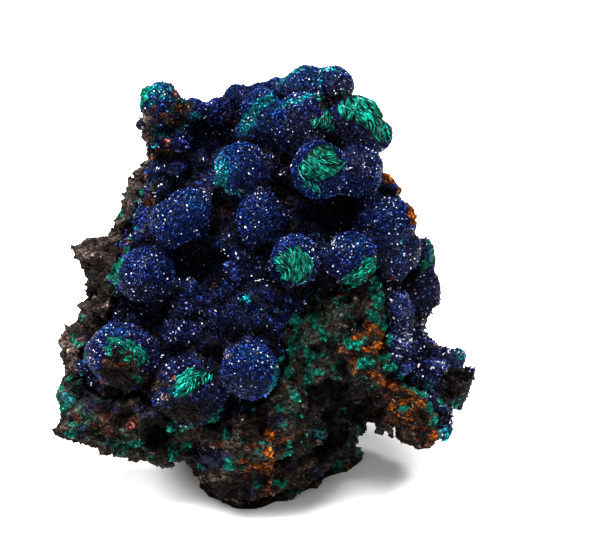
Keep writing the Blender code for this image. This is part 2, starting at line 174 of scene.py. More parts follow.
def add_glow(tree, shader):
    """A glow that is seen but lights nothing; it grows away from the foot, so far shadows are pale."""
    place = add_node(tree, "NewGeometry", {})
    centre = [part * MM for part in GLOW_CENTRE]
    distance = add_node(tree, "VectorMath", {0: place.outputs["Position"], 1: centre}, operation="DISTANCE")
    ends = {"From Min": GLOW_REACH[0] * MM, "From Max": GLOW_REACH[1] * MM,
            "To Min": FLOOR_GLOW[0], "To Max": FLOOR_GLOW[1], "Value": distance.outputs["Value"]}
    glow = add_node(tree, "MapRange", ends, interpolation_type="SMOOTHSTEP")
    path = add_node(tree, "LightPath", {})
    seen = {0: path.outputs["Is Camera Ray"], 1: glow.outputs["Result"]}
    strength = add_node(tree, "Math", seen, operation="MULTIPLY")
    shader.inputs["Emission Color"].default_value = WHITE
    tree.links.new(strength.outputs["Value"], shader.inputs["Emission Strength"])


def make_floor():
    """A pale floor under the specimen, which isn't part of it."""
    bpy.ops.mesh.primitive_plane_add(size=FLOOR_METRES)
    floor = bpy.context.object
    floor.name = "floor"
    material, shader = new_material("floor", FLOOR_ROUGHNESS)
    shader.inputs["Base Color"].default_value = FLOOR_COLOUR
    add_glow(material.node_tree, shader)
    floor.data.materials.append(material)
    floor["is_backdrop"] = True


make_floor()
print("the floor is", FLOOR_METRES, "m wide")

# %% [markdown]
# ## Light and tone
# Most of the light comes from one broad lamp overhead, so the undersides of the balls go dark. Two small
# lamps at the upper left and right give the sharp glints on the crystal faces, and a weak broad lamp in
# front fills the shadows. The surround looks white, but it lights the specimen only weakly. The tone is set
# to Standard, so colours keep their full depth.

# %% Lamps, surround and tone
# Each lamp: its place (u, v, w) and its width in millimetres, and its power in watts.
LAMPS = {
    "overhead": ((-110, 500, 330), 400, 17.0),
    "left": ((-360, 420, 120), 90, 2.2),
    "right": ((330, 420, 160), 60, 1.4),
    "front": ((0, 120, 700), 300, 1.6),
}
LAMP_AIM = (0, 33, 0)
SURROUND_SEEN = 1.0
SURROUND_LIGHT = 0.26


def make_lamp(name, place, width, power):
    """A square lamp at a place of the face's frame, aimed at the specimen's middle."""
    data = bpy.data.lights.new(name, "AREA")
    data.size = width * MM
    data.energy = power
    lamp = bpy.data.objects.new(name, data)
    bpy.context.scene.collection.objects.link(lamp)
    lamp.location = to_world(place)
    aim = Vector(to_world(LAMP_AIM)) - lamp.location
    lamp.rotation_mode = "QUATERNION"
    lamp.rotation_quaternion = aim.to_track_quat("-Z", "Y")


def make_world():
    """An even surround that is white to look at and dim as a light."""
    world = bpy.data.worlds.new("surround")
    bpy.context.scene.world = world
    world.use_nodes = True
    background = world.node_tree.nodes["Background"]
    background.inputs["Color"].default_value = WHITE
    path = add_node(world.node_tree, "LightPath", {})
    seen = {"A": SURROUND_LIGHT, "B": SURROUND_SEEN, "Factor": path.outputs["Is Camera Ray"]}
    strength = add_node(world.node_tree, "Mix", seen)
    world.node_tree.links.new(strength.outputs["Result"], background.inputs["Strength"])


for lamp_name, (place, width, power) in LAMPS.items():
    make_lamp(lamp_name, place, width, power)
make_world()
bpy.context.scene.view_settings.view_transform = "Standard"
print("lamps:", sorted(LAMPS))

# %% [markdown]
# ## Noise in arrays
# Rock and druse have detail at many scales. Blender's textures could displace a mesh, but a noise written
# with numpy can also decide colours and where crystals stand, from one and the same value. The first noise
# fades smoothly between random values on a lattice. The second finds the nearest of scattered points, which
# gives cells with sharp borders, like broken grains. Each use of a noise below has a size in millimetres and
# a seed of its own, a number that only keeps its pattern apart from the others.

# %% Noise functions
# Large odd numbers, which scatter the bits of a cell's place in the lattice and of the seed.
PLACE_MIX = (374761393, 668265263, 1440662683)
SEED_MIX = 974634777
BIT_MIX = ((13, 1274126177), (15, 2246822519))
LAST_SHIFT = 16
BITS_32 = 0xFFFFFFFF
BITS_24 = 0xFFFFFF
# Farther than anything on the specimen is from anything else.
FAR = 99.0


def lattice(cell, seed):
    """A random value from 0 to 1 for each whole-numbered cell."""
    x, y, z = (cell[..., i].astype(np.int64) * PLACE_MIX[i] for i in range(3))
    bits = (x + y + z + seed * SEED_MIX) & BITS_32
    for shift, factor in BIT_MIX:
        bits = ((bits ^ (bits >> shift)) * factor) & BITS_32
    return ((bits ^ (bits >> LAST_SHIFT)) & BITS_24) / BITS_24


def noise(places, size, seed=0):
    """A smooth random value from -1 to 1 at each place, changing over about size millimetres."""
    scaled = places / size
    cell = np.floor(scaled)
    part = scaled - cell
    part = part * part * (3 - 2 * part)
    total = np.zeros(len(places))
    for corner in range(8):
        step = np.array((corner & 1, corner >> 1 & 1, corner >> 2 & 1))
        weight = np.prod(np.where(step, part, 1 - part), axis=1)
        total += weight * lattice(cell + step, seed)
    return total * 2 - 1


def grains(places, size, seed=0):
    """The distance to the nearest scattered point, in sizes, and a random value for that point's cell."""
    scaled = places / size
    cell = np.floor(scaled)
    nearest = np.full(len(places), FAR)
    value = np.zeros(len(places))
    for number in range(27):
        near = cell + np.array((number % 3 - 1, number // 3 % 3 - 1, number // 9 - 1))
        point = near + np.stack([lattice(near, seed + i) for i in range(3)], axis=1)
        distance = np.linalg.norm(point - scaled, axis=1)
        closer = distance < nearest
        nearest[closer] = distance[closer]
        value[closer] = lattice(near, seed + 3)[closer]
    return nearest, value


def smooth_step(value, low, high):
    """0 below low, 1 above high, and a soft change between them."""
    share = np.clip((value - low) / (high - low), 0, 1)
    return share * share * (3 - 2 * share)


print("noise at the foot:", noise(np.zeros((1, 3)), 1.0))

# %% [markdown]
# ## Where each mineral lies: green
# Minerals lie on the specimen as films and small patches. A painted picture could place them, but patches
# given as numbers stay sharp at any distance and can steer the chips and fibres as well. Each patch is an
# ellipse in the face's directions: its middle (u, v), half its width and height, and a turn in degrees.
# Malachite is deep green, and where it lies thinly over azurite it looks teal.

# %% Green patches
MALACHITE = [
    (15.3, 35.5, 1.0, 1.6, -30), (13.4, 33.9, 2.0, 0.9, 30), (16.6, 33.3, 0.8, 0.9, 0),
    (15.6, 31.9, 0.4, 0.8, 0), (17.0, 30.7, 0.9, 1.3, -10), (16.6, 27.8, 1.5, 0.6, -45),
    (15.9, 28.7, 0.5, 0.4, 0), (18.3, 25.3, 0.6, 0.8, 0), (13.2, 24.5, 1.3, 0.8, 0),
    (15.2, 21.6, 1.3, 0.9, 0), (17.7, 22.4, 0.7, 0.5, 0), (18.8, 20.9, 1.2, 0.6, 0),
    (20.6, 19.2, 0.9, 0.5, -45), (21.5, 18.2, 0.9, 0.5, -20), (23.0, 17.0, 0.8, 0.4, -20),
    (21.0, 14.9, 0.8, 0.5, 0), (24.2, 15.0, 0.5, 0.8, 0), (24.9, 13.0, 0.6, 0.9, 0),
    (26.1, 15.9, 0.3, 0.7, 20), (28.1, 15.9, 0.9, 0.5, 20), (5.1, 27.5, 0.8, 1.3, 0),
    (7.6, 27.7, 0.5, 1.5, 0), (8.5, 32.0, 0.6, 0.9, 0), (8.1, 30.4, 0.3, 0.5, 0), (8.9, 25.6, 0.7, 0.6, 0),
    (12.6, 28.3, 0.5, 0.3, 0), (4.2, 23.8, 0.7, 1.4, -15), (3.0, 22.2, 0.4, 0.5, 0),
    (3.5, 20.2, 0.9, 0.9, 0), (6.6, 22.4, 0.7, 1.0, 0), (8.6, 22.8, 0.7, 0.3, 20),
    (7.4, 20.0, 1.4, 0.4, 10), (6.7, 19.1, 0.5, 0.6, 0), (4.8, 16.4, 0.8, 0.7, 20),
    (2.4, 15.2, 0.6, 0.6, 0), (2.9, 12.5, 0.5, 0.4, 0), (10.4, 21.0, 0.6, 0.4, 0),
    (10.6, 30.6, 0.5, 0.4, 0), (12.2, 31.0, 0.5, 0.3, 0), (5.8, 13.9, 0.5, 0.2, 0),
    (0.2, 10.0, 0.4, 0.3, 0), (3.9, 8.9, 0.5, 1.0, 0), (3.2, 3.9, 0.4, 0.4, 0), (1.9, 4.3, 0.4, 0.4, 0),
    (5.0, 2.8, 0.8, 0.3, 0), (-0.6, 4.0, 0.5, 0.5, 0), (-4.8, 6.8, 0.6, 0.7, 20),
    (-8.8, 6.5, 0.5, 0.3, -40), (-6.8, 13.8, 0.4, 1.0, -35), (-5.1, 11.2, 0.5, 0.7, 0),
    (-10.7, 12.4, 1.0, 0.3, 10), (-12.9, 12.3, 0.7, 0.7, 0), (-13.4, 11.6, 0.3, 0.6, 0),
    (-12.9, 9.2, 0.7, 1.0, 0), (-13.1, 8.0, 0.4, 0.8, 0), (-10.9, 9.5, 0.9, 0.6, 0),
    (-18.5, 9.8, 1.0, 0.5, 15), (-15.9, 8.0, 0.5, 0.3, 0), (-20.9, 9.6, 0.9, 0.4, -20),
    (-27.2, 25.1, 0.3, 0.6, 0), (-26.6, 24.4, 0.9, 0.3, -45), (-25.7, 22.4, 0.2, 1.3, -12),
    (-26.3, 19.9, 0.2, 1.3, -10), (-26.9, 18.3, 0.25, 0.7, -20), (-27.8, 19.4, 0.5, 0.4, 20),
    (-29.3, 17.9, 0.5, 0.4, 0), (-29.7, 16.6, 0.25, 0.8, 0), (-28.6, 14.8, 0.5, 0.9, 20),
    (-27.5, 12.9, 0.6, 0.6, 0), (-27.4, 11.5, 0.9, 0.8, 0), (-26.1, 28.2, 0.3, 0.4, 0),
    (-22.0, 24.9, 0.8, 0.3, 0), (-22.3, 23.4, 0.4, 1.2, 0), (-20.7, 24.6, 0.8, 0.4, -10),
    (-18.9, 24.2, 0.9, 0.4, -10), (-18.0, 23.3, 1.0, 0.5, -45), (-20.2, 23.3, 0.6, 0.4, 0),
    (-17.2, 22.0, 1.0, 0.4, 35), (-19.2, 22.3, 0.7, 0.3, 0), (-18.4, 19.7, 0.5, 0.3, 0),
    (-17.8, 19.1, 0.3, 0.4, 0), (-11.9, 17.0, 0.9, 0.3, 0), (-17.3, 60.3, 0.6, 1.7, -25),
    (-11.2, 59.7, 0.3, 0.5, -30), (-17.4, 46.3, 0.3, 0.6, 0), (-17.9, 45.1, 0.4, 0.3, 0),
    (-20.5, 43.3, 0.3, 0.7, 0), (-19.0, 39.4, 0.25, 0.6, 20), (-19.5, 38.0, 0.3, 0.6, -20),
    (-21.0, 35.4, 0.5, 1.2, -25), (-21.1, 33.6, 0.4, 0.7, 0), (-22.0, 34.0, 0.5, 0.3, 0),
    (23.6, 35.9, 0.9, 0.5, -30), (23.2, 34.8, 0.5, 0.4, -30), (24.6, 37.4, 0.3, 1.6, 10),
    (24.2, 39.2, 0.6, 0.3, -40),
]
TEAL = [
    (-1.9, 57.2, 0.9, 2.6, -25), (0.4, 59.4, 1.4, 0.8, 30), (-2.6, 55.2, 0.5, 0.9, 0),
    (-5.9, 49.0, 0.9, 2.6, 0), (-5.4, 46.3, 0.9, 1.0, 0), (-3.6, 46.4, 0.9, 0.5, 0),
    (-15.6, 61.3, 1.6, 0.7, 20), (5.0, 59.6, 2.6, 0.4, 20), (7.4, 60.4, 1.4, 0.3, 10),
    (3.0, 62.6, 0.5, 1.2, -40), (5.0, 64.0, 1.5, 0.4, 20), (9.5, 64.2, 1.6, 0.4, -10),
    (8.4, 62.9, 0.3, 1.4, 0), (1.6, 18.4, 0.5, 2.4, -22), (2.0, 20.6, 0.3, 1.0, 0),
    (-13.4, 58.0, 0.6, 0.3, 0), (-9.6, 57.3, 0.8, 0.5, 0), (-12.3, 55.4, 0.5, 0.3, 20),
    (-14.2, 60.2, 0.7, 0.4, 0), (-15.9, 59.4, 0.5, 0.4, 0), (-13.4, 61.4, 0.6, 0.4, -30),
    (-16.0, 55.9, 1.0, 0.3, 0), (-14.8, 54.6, 1.2, 0.3, -10), (-16.2, 53.2, 0.6, 0.4, 0),
    (-10.6, 55.9, 1.4, 0.3, 10), (-12.8, 60.0, 0.4, 0.6, 0), (-18.4, 43.9, 0.2, 0.6, 15),
    (-19.2, 41.6, 0.15, 1.0, 0), (-18.4, 41.1, 0.4, 0.3, 0), (-21.2, 31.2, 0.2, 1.2, 0),
    (-21.8, 29.2, 0.2, 1.2, -15), (-27.8, 16.4, 1.1, 0.8, 0), (13.9, 11.6, 0.25, 2.2, 0),
    (13.9, 8.4, 0.25, 1.0, 0), (8.0, 11.4, 1.2, 0.8, -40), (-22.2, 9.9, 1.0, 0.3, -15),
    (20.2, 38.8, 0.3, 1.2, 0), (6.3, 47.4, 0.4, 0.8, -20), (-2.5, 30.9, 0.8, 0.5, 0),
    (2.7, 29.1, 0.6, 0.3, 0), (0.0, 29.2, 0.5, 0.3, 0), (26.6, 11.4, 1.0, 1.0, 0),
    (29.2, 22.6, 0.9, 1.0, 0), (18.3, 27.8, 0.5, 0.9, 0), (-12.2, 17.6, 1.4, 0.8, 0),
    (-14.6, 18.4, 0.6, 0.3, 0), (-1.7, 15.2, 0.8, 0.4, 0), (24.0, 18.2, 0.7, 0.9, 0),
]

print("green patches:", len(MALACHITE), "teal patches:", len(TEAL))

# %% [markdown]
# ## Orange, rusty and tan patches
# The iron oxide has weathered to orange ochre where it broke open last, and to rusty brown in thin streaks.
# Tan clay sits in a few corners.

# %% Orange, rusty and tan patches
OCHRE = [
    (15.6, 27.1, 0.9, 0.6, 0), (14.3, 25.6, 1.0, 0.4, 25), (16.0, 25.7, 0.7, 0.3, 20),
    (17.3, 26.0, 0.4, 0.8, 20), (16.9, 23.8, 0.9, 0.8, 0), (15.0, 23.5, 0.9, 0.4, 0),
    (17.9, 24.4, 0.4, 0.4, 0), (13.6, 22.3, 0.4, 0.5, 0), (13.4, 21.0, 0.5, 1.1, 0),
    (14.8, 20.2, 1.4, 0.3, -8), (16.7, 19.6, 1.4, 0.35, -25), (18.9, 18.5, 1.1, 0.5, -12),
    (17.4, 18.6, 1.2, 0.2, -35), (20.7, 17.6, 0.9, 0.3, -15), (21.8, 17.2, 0.5, 0.3, 0),
    (20.8, 16.1, 0.7, 0.5, 10), (22.4, 15.8, 0.9, 0.5, -40), (23.3, 15.4, 0.4, 0.7, 20),
    (21.6, 14.6, 0.7, 0.3, 40), (22.3, 13.6, 0.4, 0.7, 0), (20.8, 13.3, 1.3, 0.3, 5),
    (18.6, 15.1, 0.7, 0.3, 30), (19.5, 14.0, 0.8, 0.25, 0), (23.5, 12.3, 1.0, 0.35, -25),
    (22.3, 12.3, 0.9, 0.25, 0), (24.1, 13.5, 0.3, 0.6, 0), (24.9, 11.0, 0.8, 0.6, 20),
    (16.5, 33.1, 0.3, 0.3, 0), (1.3, 11.2, 0.8, 0.8, 0), (1.9, 10.1, 0.3, 0.5, 0),
    (3.4, 10.5, 0.7, 0.4, 20), (5.8, 11.5, 0.5, 0.3, 0), (0.9, 8.6, 0.5, 0.9, 25),
    (-0.2, 6.2, 1.3, 0.8, 15), (-2.2, 5.7, 0.4, 0.8, -20), (-2.6, 7.4, 0.8, 0.4, 0),
    (18.6, 48.6, 1.0, 1.3, 0), (20.8, 46.4, 1.0, 1.8, 25), (21.9, 43.8, 0.9, 1.9, 15),
    (22.0, 42.2, 0.6, 0.9, 0), (-11.9, 58.7, 0.6, 0.8, 20), (-19.6, 39.2, 0.5, 0.4, 30),
    (-20.2, 37.8, 0.3, 0.6, -20),
]
RUST = [
    (-12.7, 60.5, 0.5, 0.5, 0), (-15.7, 58.4, 0.4, 0.3, 0), (-16.9, 55.6, 0.8, 0.3, 0),
    (-14.2, 57.6, 1.2, 0.2, 0), (-15.8, 51.3, 1.0, 0.25, 10), (-13.2, 51.9, 0.8, 0.2, 0),
    (-12.3, 57.0, 0.9, 0.2, 10), (-15.4, 56.8, 0.5, 0.5, 0), (-14.0, 53.7, 0.6, 0.3, 0),
    (-14.9, 52.2, 1.3, 0.3, 5), (-12.2, 56.2, 0.6, 0.25, 0), (-17.0, 53.9, 0.3, 0.8, 0),
    (-16.7, 48.7, 0.4, 0.3, 0), (-16.4, 45.0, 0.9, 0.7, 0), (-5.8, 57.5, 0.4, 0.25, 0),
    (-3.7, 56.4, 0.5, 0.3, 0), (3.1, 45.1, 0.4, 0.5, 0), (-5.3, 43.8, 0.6, 0.6, 0),
    (-7.3, 32.9, 0.6, 0.35, 0), (-9.0, 25.1, 0.5, 0.25, 0), (-2.2, 24.9, 0.6, 0.15, 0),
    (-19.3, 23.0, 0.5, 0.4, 0), (-18.2, 21.8, 0.4, 0.3, 0), (-20.8, 21.3, 2.0, 0.5, -10),
    (-23.1, 18.5, 0.4, 0.4, 0), (-27.4, 13.9, 0.8, 0.6, 0), (-26.6, 13.2, 0.3, 0.5, 0),
    (-23.3, 14.8, 0.8, 0.4, -10), (-21.8, 13.6, 1.0, 0.4, 0), (-22.0, 11.4, 0.8, 0.5, -20),
    (-18.9, 13.0, 0.8, 0.9, 0), (-24.0, 12.6, 0.6, 0.4, 0), (-14.4, 20.2, 1.0, 0.25, -5),
    (-12.9, 19.5, 0.5, 0.3, 0), (-6.3, 9.7, 1.0, 0.4, 0), (-9.4, 11.6, 0.4, 0.25, 0),
    (-14.0, 7.2, 0.3, 0.3, 0), (1.3, 6.0, 0.45, 2.6, -8), (0.8, 2.9, 0.45, 1.0, -10),
    (-1.0, 9.4, 1.2, 0.3, 10), (11.8, 23.3, 1.2, 0.4, -15), (11.6, 31.5, 1.2, 0.35, 10),
    (15.9, 31.2, 0.3, 0.4, 0), (18.6, 33.8, 0.4, 0.3, 0), (26.0, 23.9, 0.9, 0.25, -5),
    (24.4, 10.1, 0.9, 0.5, 0), (22.6, 10.8, 0.6, 0.4, 0), (17.9, 17.0, 1.4, 0.25, -40),
    (16.4, 14.2, 1.4, 0.25, -35), (18.4, 13.2, 1.0, 0.25, -20), (5.9, 27.2, 0.25, 0.5, 0),
    (4.9, 21.3, 0.25, 0.8, 0), (3.0, 17.8, 0.3, 1.2, -25),
]
TAN = [
    (-10.7, 58.6, 0.5, 0.6, 0), (-12.4, 59.0, 0.6, 0.4, 0), (-16.7, 57.2, 0.8, 0.6, 0),
    (-17.2, 55.2, 0.4, 1.2, 0), (-13.2, 56.5, 1.0, 0.35, 0), (-16.6, 51.4, 0.4, 0.9, -30),
    (-12.6, 52.2, 0.5, 0.25, 0), (-17.5, 50.2, 0.4, 0.9, -30), (-15.6, 17.9, 0.5, 0.3, 0),
    (-14.0, 16.5, 0.6, 0.4, 0), (-8.7, 22.5, 0.5, 0.25, 0), (-7.7, 22.3, 0.5, 0.35, 0),
    (-6.4, 22.8, 0.6, 0.3, 20), (-5.6, 23.1, 0.4, 0.25, 0), (-4.7, 22.5, 0.4, 0.3, 0),
    (-9.4, 18.4, 1.0, 0.3, 25), (-5.5, 4.7, 2.4, 0.4, -3), (-8.8, 4.8, 0.8, 0.6, 0),
    (-3.5, 1.4, 0.6, 0.15, -30), (15.4, 41.6, 0.5, 0.3, 0), (-15.9, 46.9, 0.4, 0.3, 0),
    (13.4, 30.9, 1.6, 0.3, -20),
]

print("orange patches:", len(OCHRE), "rusty patches:", len(RUST), "tan patches:", len(TAN))

# %% [markdown]
# ## Shades of blue
# Azurite isn't one blue. A dark film of it lies on the rock beside the crust, some balls are a brighter
# blue, and dusty or worn parts look lilac or mauve.

# %% Blue patches
AZURE_FILM = [
    (19.3, 30.0, 1.4, 5.0, 10), (20.8, 24.6, 1.6, 3.6, 18), (22.6, 20.2, 1.6, 2.6, 30),
    (24.9, 16.2, 0.9, 2.4, 25), (26.4, 13.4, 0.7, 1.8, 10), (-22.0, 15.2, 1.4, 1.1, 0),
    (-24.8, 17.4, 1.9, 1.0, 0), (-26.2, 11.8, 0.5, 0.9, 0), (-7.4, 7.6, 3.4, 1.5, -6),
    (-12.0, 15.0, 6.0, 2.0, 0), (2.0, 13.2, 1.2, 0.8, 0), (4.0, 8.0, 0.8, 1.4, 0), (8.0, 5.6, 0.9, 0.8, 0),
    (-1.8, 2.9, 0.8, 0.6, 0), (-24.5, 15.4, 1.2, 0.9, 0),
]
BRIGHT_BLUE = [
    (-5.0, 50.6, 1.9, 2.4, 20), (5.2, 62.7, 2.8, 1.5, 15), (-0.7, 57.8, 1.6, 2.4, -15),
    (-10.8, 57.2, 1.8, 0.7, 0), (-14.2, 55.4, 1.9, 0.9, 0), (-17.6, 47.5, 0.4, 0.6, 0),
    (1.8, 61.2, 1.4, 0.6, 10), (2.4, 59.6, 0.8, 1.8, -30), (-9.0, 44.9, 2.4, 1.0, -10),
    (-1.2, 22.8, 1.8, 1.2, 0), (13.2, 38.9, 2.0, 1.0, 0), (-20.8, 26.1, 2.8, 0.8, 0),
    (-14.6, 61.2, 2.4, 1.6, 0), (8.0, 62.6, 2.8, 1.4, 0),
]
LILAC = [
    (19.6, 30.6, 2.2, 6.4, 8), (21.0, 23.6, 2.4, 3.8, 18), (22.8, 18.4, 2.2, 2.8, 30),
    (24.9, 15.2, 1.3, 2.8, 20), (26.8, 21.8, 2.6, 2.0, 0), (10.6, 61.6, 1.6, 1.4, 0),
    (19.6, 37.4, 1.8, 2.4, 0),
]
MAUVE = [
    (11.4, 61.2, 1.8, 1.8, 0), (5.6, 56.0, 3.2, 2.4, 0), (14.6, 50.0, 1.6, 2.4, 0),
    (24.4, 31.6, 2.4, 2.8, 0), (23.4, 37.4, 2.2, 2.6, 0), (23.2, 25.8, 2.4, 3.2, 10),
    (27.8, 21.6, 3.0, 2.6, 0), (-10.6, 15.2, 5.0, 2.4, 0), (-24.8, 17.4, 2.0, 1.1, 0),
    (-22.0, 15.2, 1.5, 1.1, 0), (13.0, 55.0, 3.0, 1.6, 0), (26.4, 13.4, 0.9, 2.0, 0),
    (-3.6, 18.2, 2.4, 2.0, 0), (4.9, 33.2, 3.4, 1.0, 0), (-17.0, 32.0, 3.2, 1.4, 0),
    (17.6, 36.6, 1.6, 1.6, 0),
]

print("blue patches:", len(AZURE_FILM + BRIGHT_BLUE + LILAC + MAUVE))

# %% [markdown]
# ## Shades of the rock
# The rock is greyer on worn edges, and parts of it carry a thin green bloom like moss. Under overhangs and in
# hollows it is painted darker, as painted shade. In bare patches the crust has broken away, so the rock shows
# through. Patches of painted shade lie deep between the balls.

# %% Rock patches
GREY_ROCK = [
    (-27.4, 24.2, 1.9, 3.0, 15), (-25.0, 38.0, 2.2, 1.6, 0), (-24.6, 33.6, 1.6, 1.4, 0),
    (-29.4, 12.3, 1.1, 1.3, 0), (-16.6, 18.9, 1.4, 0.9, -10), (-22.0, 41.0, 1.8, 2.0, 30),
    (-19.6, 45.8, 1.0, 2.6, -20), (-24.0, 29.0, 2.0, 2.6, 0), (9.4, 27.0, 2.6, 1.6, 0),
    (13.0, 29.6, 3.0, 1.6, 0), (7.0, 25.0, 1.4, 1.4, 0), (3.2, 18.4, 1.0, 2.4, -20),
    (-20.4, 20.6, 2.4, 1.8, 0), (29.4, 18.6, 1.2, 1.8, 0), (4.6, 20.6, 0.8, 2.4, -10),
    (12.8, 31.6, 1.6, 0.6, 20),
]
BARE = [
    (-20.3, 20.8, 3.0, 3.2, 0), (-16.2, 18.6, 3.0, 1.1, -10), (-20.5, 16.6, 3.4, 1.2, 0),
    (28.2, 18.6, 2.4, 2.2, 0), (-16.4, 45.0, 1.0, 0.8, 0), (-14.4, 52.3, 1.8, 0.5, 0),
    (-5.5, 43.9, 0.9, 0.8, 0), (-11.8, 58.6, 1.6, 0.9, 0), (-16.8, 56.8, 0.9, 1.6, 0),
    (-16.4, 54.2, 0.9, 1.0, 0), (-14.6, 57.3, 2.0, 0.35, -8), (-15.0, 51.4, 1.8, 0.45, 5),
    (-11.4, 56.4, 1.2, 0.3, 0), (-17.4, 47.4, 0.8, 1.6, -20), (-11.4, 14.4, 3.2, 1.5, -10),
    (12.6, 31.4, 1.6, 0.7, 10), (-13.0, 56.4, 1.3, 0.4, 0), (-15.6, 47.0, 0.7, 0.5, 0),
    (-17.4, 50.0, 0.5, 2.0, -25), (26.6, 17.2, 1.0, 1.6, 0), (9.0, 58.9, 0.9, 0.7, 0),
]
# Rock painted darker where shade falls, under overhangs and in hollows: painted shade.
SHADED_ROCK = [
    (10.0, 14.0, 3.4, 6.0, 0), (14.0, 12.0, 3.0, 3.0, 20), (-15.6, 11.9, 1.9, 2.0, 0),
    (12.4, 26.6, 0.9, 1.2, 0), (11.6, 25.4, 1.2, 0.7, 0), (10.2, 24.0, 1.2, 0.8, 0),
    (-21.4, 17.0, 1.4, 0.9, 0), (26.4, 18.2, 0.9, 2.0, 0), (6.4, 29.6, 0.7, 1.2, 0),
    (14.4, 17.6, 1.4, 1.8, -30), (-24.4, 30.0, 1.0, 0.9, 0), (6.6, 17.6, 0.9, 1.4, -20),
]
MOSS = [
    (9.6, 26.6, 6.0, 5.4, -20), (12.8, 20.4, 4.4, 3.0, -20), (5.0, 19.4, 2.6, 6.4, -14),
    (9.8, 12.6, 5.6, 4.6, 0), (-16.6, 9.4, 6.6, 2.6, -10), (-2.0, 9.0, 6.4, 3.0, 0),
    (-25.4, 15.4, 2.6, 5.0, 10),
]
# Patches of painted shade, mostly deep between the balls.
SHADE = [
    (-10.6, 14.8, 4.2, 2.2, 0), (-3.5, 28.5, 6.0, 4.0, 0), (3.4, 45.6, 2.6, 1.6, 0),
    (-8.6, 38.0, 2.4, 1.6, 0), (-13.5, 28.0, 2.6, 1.6, 0), (8.4, 42.6, 4.0, 2.4, 0),
    (8.0, 33.6, 2.0, 1.4, 0), (-11.0, 49.5, 3.4, 2.6, 0), (5.2, 17.6, 1.4, 3.2, -10),
    (-8.4, 24.6, 2.4, 1.6, 0), (28.4, 18.4, 2.4, 2.4, 0), (-19.8, 19.4, 2.6, 1.6, 0),
]

print("rock patches:", len(GREY_ROCK + BARE + SHADED_ROCK + MOSS + SHADE))

# %% [markdown]
# ## How much a patch covers
# Noise breaks up the edges of the patches, so none of them looks like an ellipse. The patches lie on the
# side that the face looks to; on the back, noise alone places the minerals.

# %% Cover of the patches
# Each mineral's patches, and the seed of their ragged edges.
PATCHES = {
    "malachite": (MALACHITE, 1), "teal": (TEAL, 5), "ochre": (OCHRE, 9), "rust": (RUST, 13),
    "tan": (TAN, 17), "azure": (AZURE_FILM, 21), "dark": (SHADED_ROCK, 25), "bare": (BARE, 29),
    "grey": (GREY_ROCK, 33), "bright": (BRIGHT_BLUE, 36), "mauve": (MAUVE, 39), "shade": (SHADE, 43),
    "lilac": (LILAC, 46), "moss": (MOSS, 49),
}
# How far noise moves an edge, the soft border of a patch, and where the back begins (w), all in millimetres.
PATCH_EDGE = 0.45
PATCH_BORDER = (-0.08, 0.10)
PATCH_FROM = -9.0
BACK_BLEND = 2.0


def seen_square_on(places):
    """Where each place shows on the plane that the camera looks at, as (u, v)."""
    middle = np.array(LOOK_AT)
    shrink = CAMERA_DISTANCE / (CAMERA_DISTANCE + middle[2] - places[:, 2])
    return middle[:2] + (places[:, :2] - middle[:2]) * shrink[:, None]


def cover(places, mineral):
    """How much each place lies in one of the mineral's patches, from 0 to 1."""
    patches, seed = PATCHES[mineral]
    uv = seen_square_on(places)
    ragged = PATCH_EDGE * (0.6 * noise(places, 1.3, seed) + noise(places, 0.5, seed + 1))
    best = np.full(len(places), -FAR)
    for u, v, half_u, half_v, turn in patches:
        angle = math.radians(turn)
        du, dv = uv[:, 0] - u, uv[:, 1] - v
        along = (du * math.cos(angle) + dv * math.sin(angle)) / half_u
        over = (dv * math.cos(angle) - du * math.sin(angle)) / half_v
        small = min(half_u, half_v)
        edge = (1 - np.hypot(along, over)) * small + ragged * min(1.0, 1.3 * small)
        best = np.maximum(best, edge)
    return smooth_step(best, *PATCH_BORDER) * (places[:, 2] > PATCH_FROM)


def behind(places):
    """1 on the specimen's back, where no patch is given."""
    return smooth_step(-places[:, 2], -PATCH_FROM - BACK_BLEND, -PATCH_FROM + BACK_BLEND)


def minerals(places):
    """The cover of each coloured mineral at each place."""
    found = {mineral: cover(places, mineral) for mineral in PATCHES}
    back = behind(places)
    broad = noise(places, 5.0, 40) + 0.5 * noise(places, 1.6, 41)
    warm = noise(places, 6.5, 50) + 0.5 * noise(places, 1.8, 51)
    at_back = {
        "malachite": smooth_step(broad, 0.62, 0.72),
        "azure": smooth_step(-broad, 0.45, 0.7),
        "ochre": smooth_step(warm, 0.72, 0.85),
        "rust": smooth_step(-warm, 0.6, 0.8),
    }
    for mineral, share in at_back.items():
        found[mineral] = np.maximum(found[mineral], back * share)
    return found


print("minerals:", sorted(PATCHES))

# %% [markdown]
# ## Meshes from arrays
# A druse has tens of thousands of crystals. One object for each would be slow, so they are joined in one
# mesh whose points and triangles are written from arrays in one go. Colours are stored at the points, and
# the material reads them back. A solid that occurs many times is given once: its triangles are repeated for
# every copy, with the numbers of the copy's own points.

# %% Mesh helpers
def put_mesh(name, points, triangles, tints=None):
    """A new object with these points (metres) and triangles, and a colour at each point."""
    mesh = bpy.data.meshes.new(name)
    mesh.vertices.add(len(points))
    mesh.vertices.foreach_set("co", np.asarray(points, np.float32).ravel())
    mesh.loops.add(3 * len(triangles))
    mesh.loops.foreach_set("vertex_index", np.asarray(triangles, np.int32).ravel())
    mesh.polygons.add(len(triangles))
    mesh.polygons.foreach_set("loop_start", np.arange(0, 3 * len(triangles), 3, dtype=np.int32))
    mesh.update(calc_edges=True)
    piece = bpy.data.objects.new(name, mesh)
    bpy.context.scene.collection.objects.link(piece)
    if tints is not None:
        store_tints(piece, tints)
    return piece


def repeated(triangles, count, corners):
    """The triangles of count equal solids with this many corners each, from those of the first."""
    starts = np.arange(count) * corners
    return (np.array(triangles)[None] + starts[:, None, None]).reshape(-1, 3)


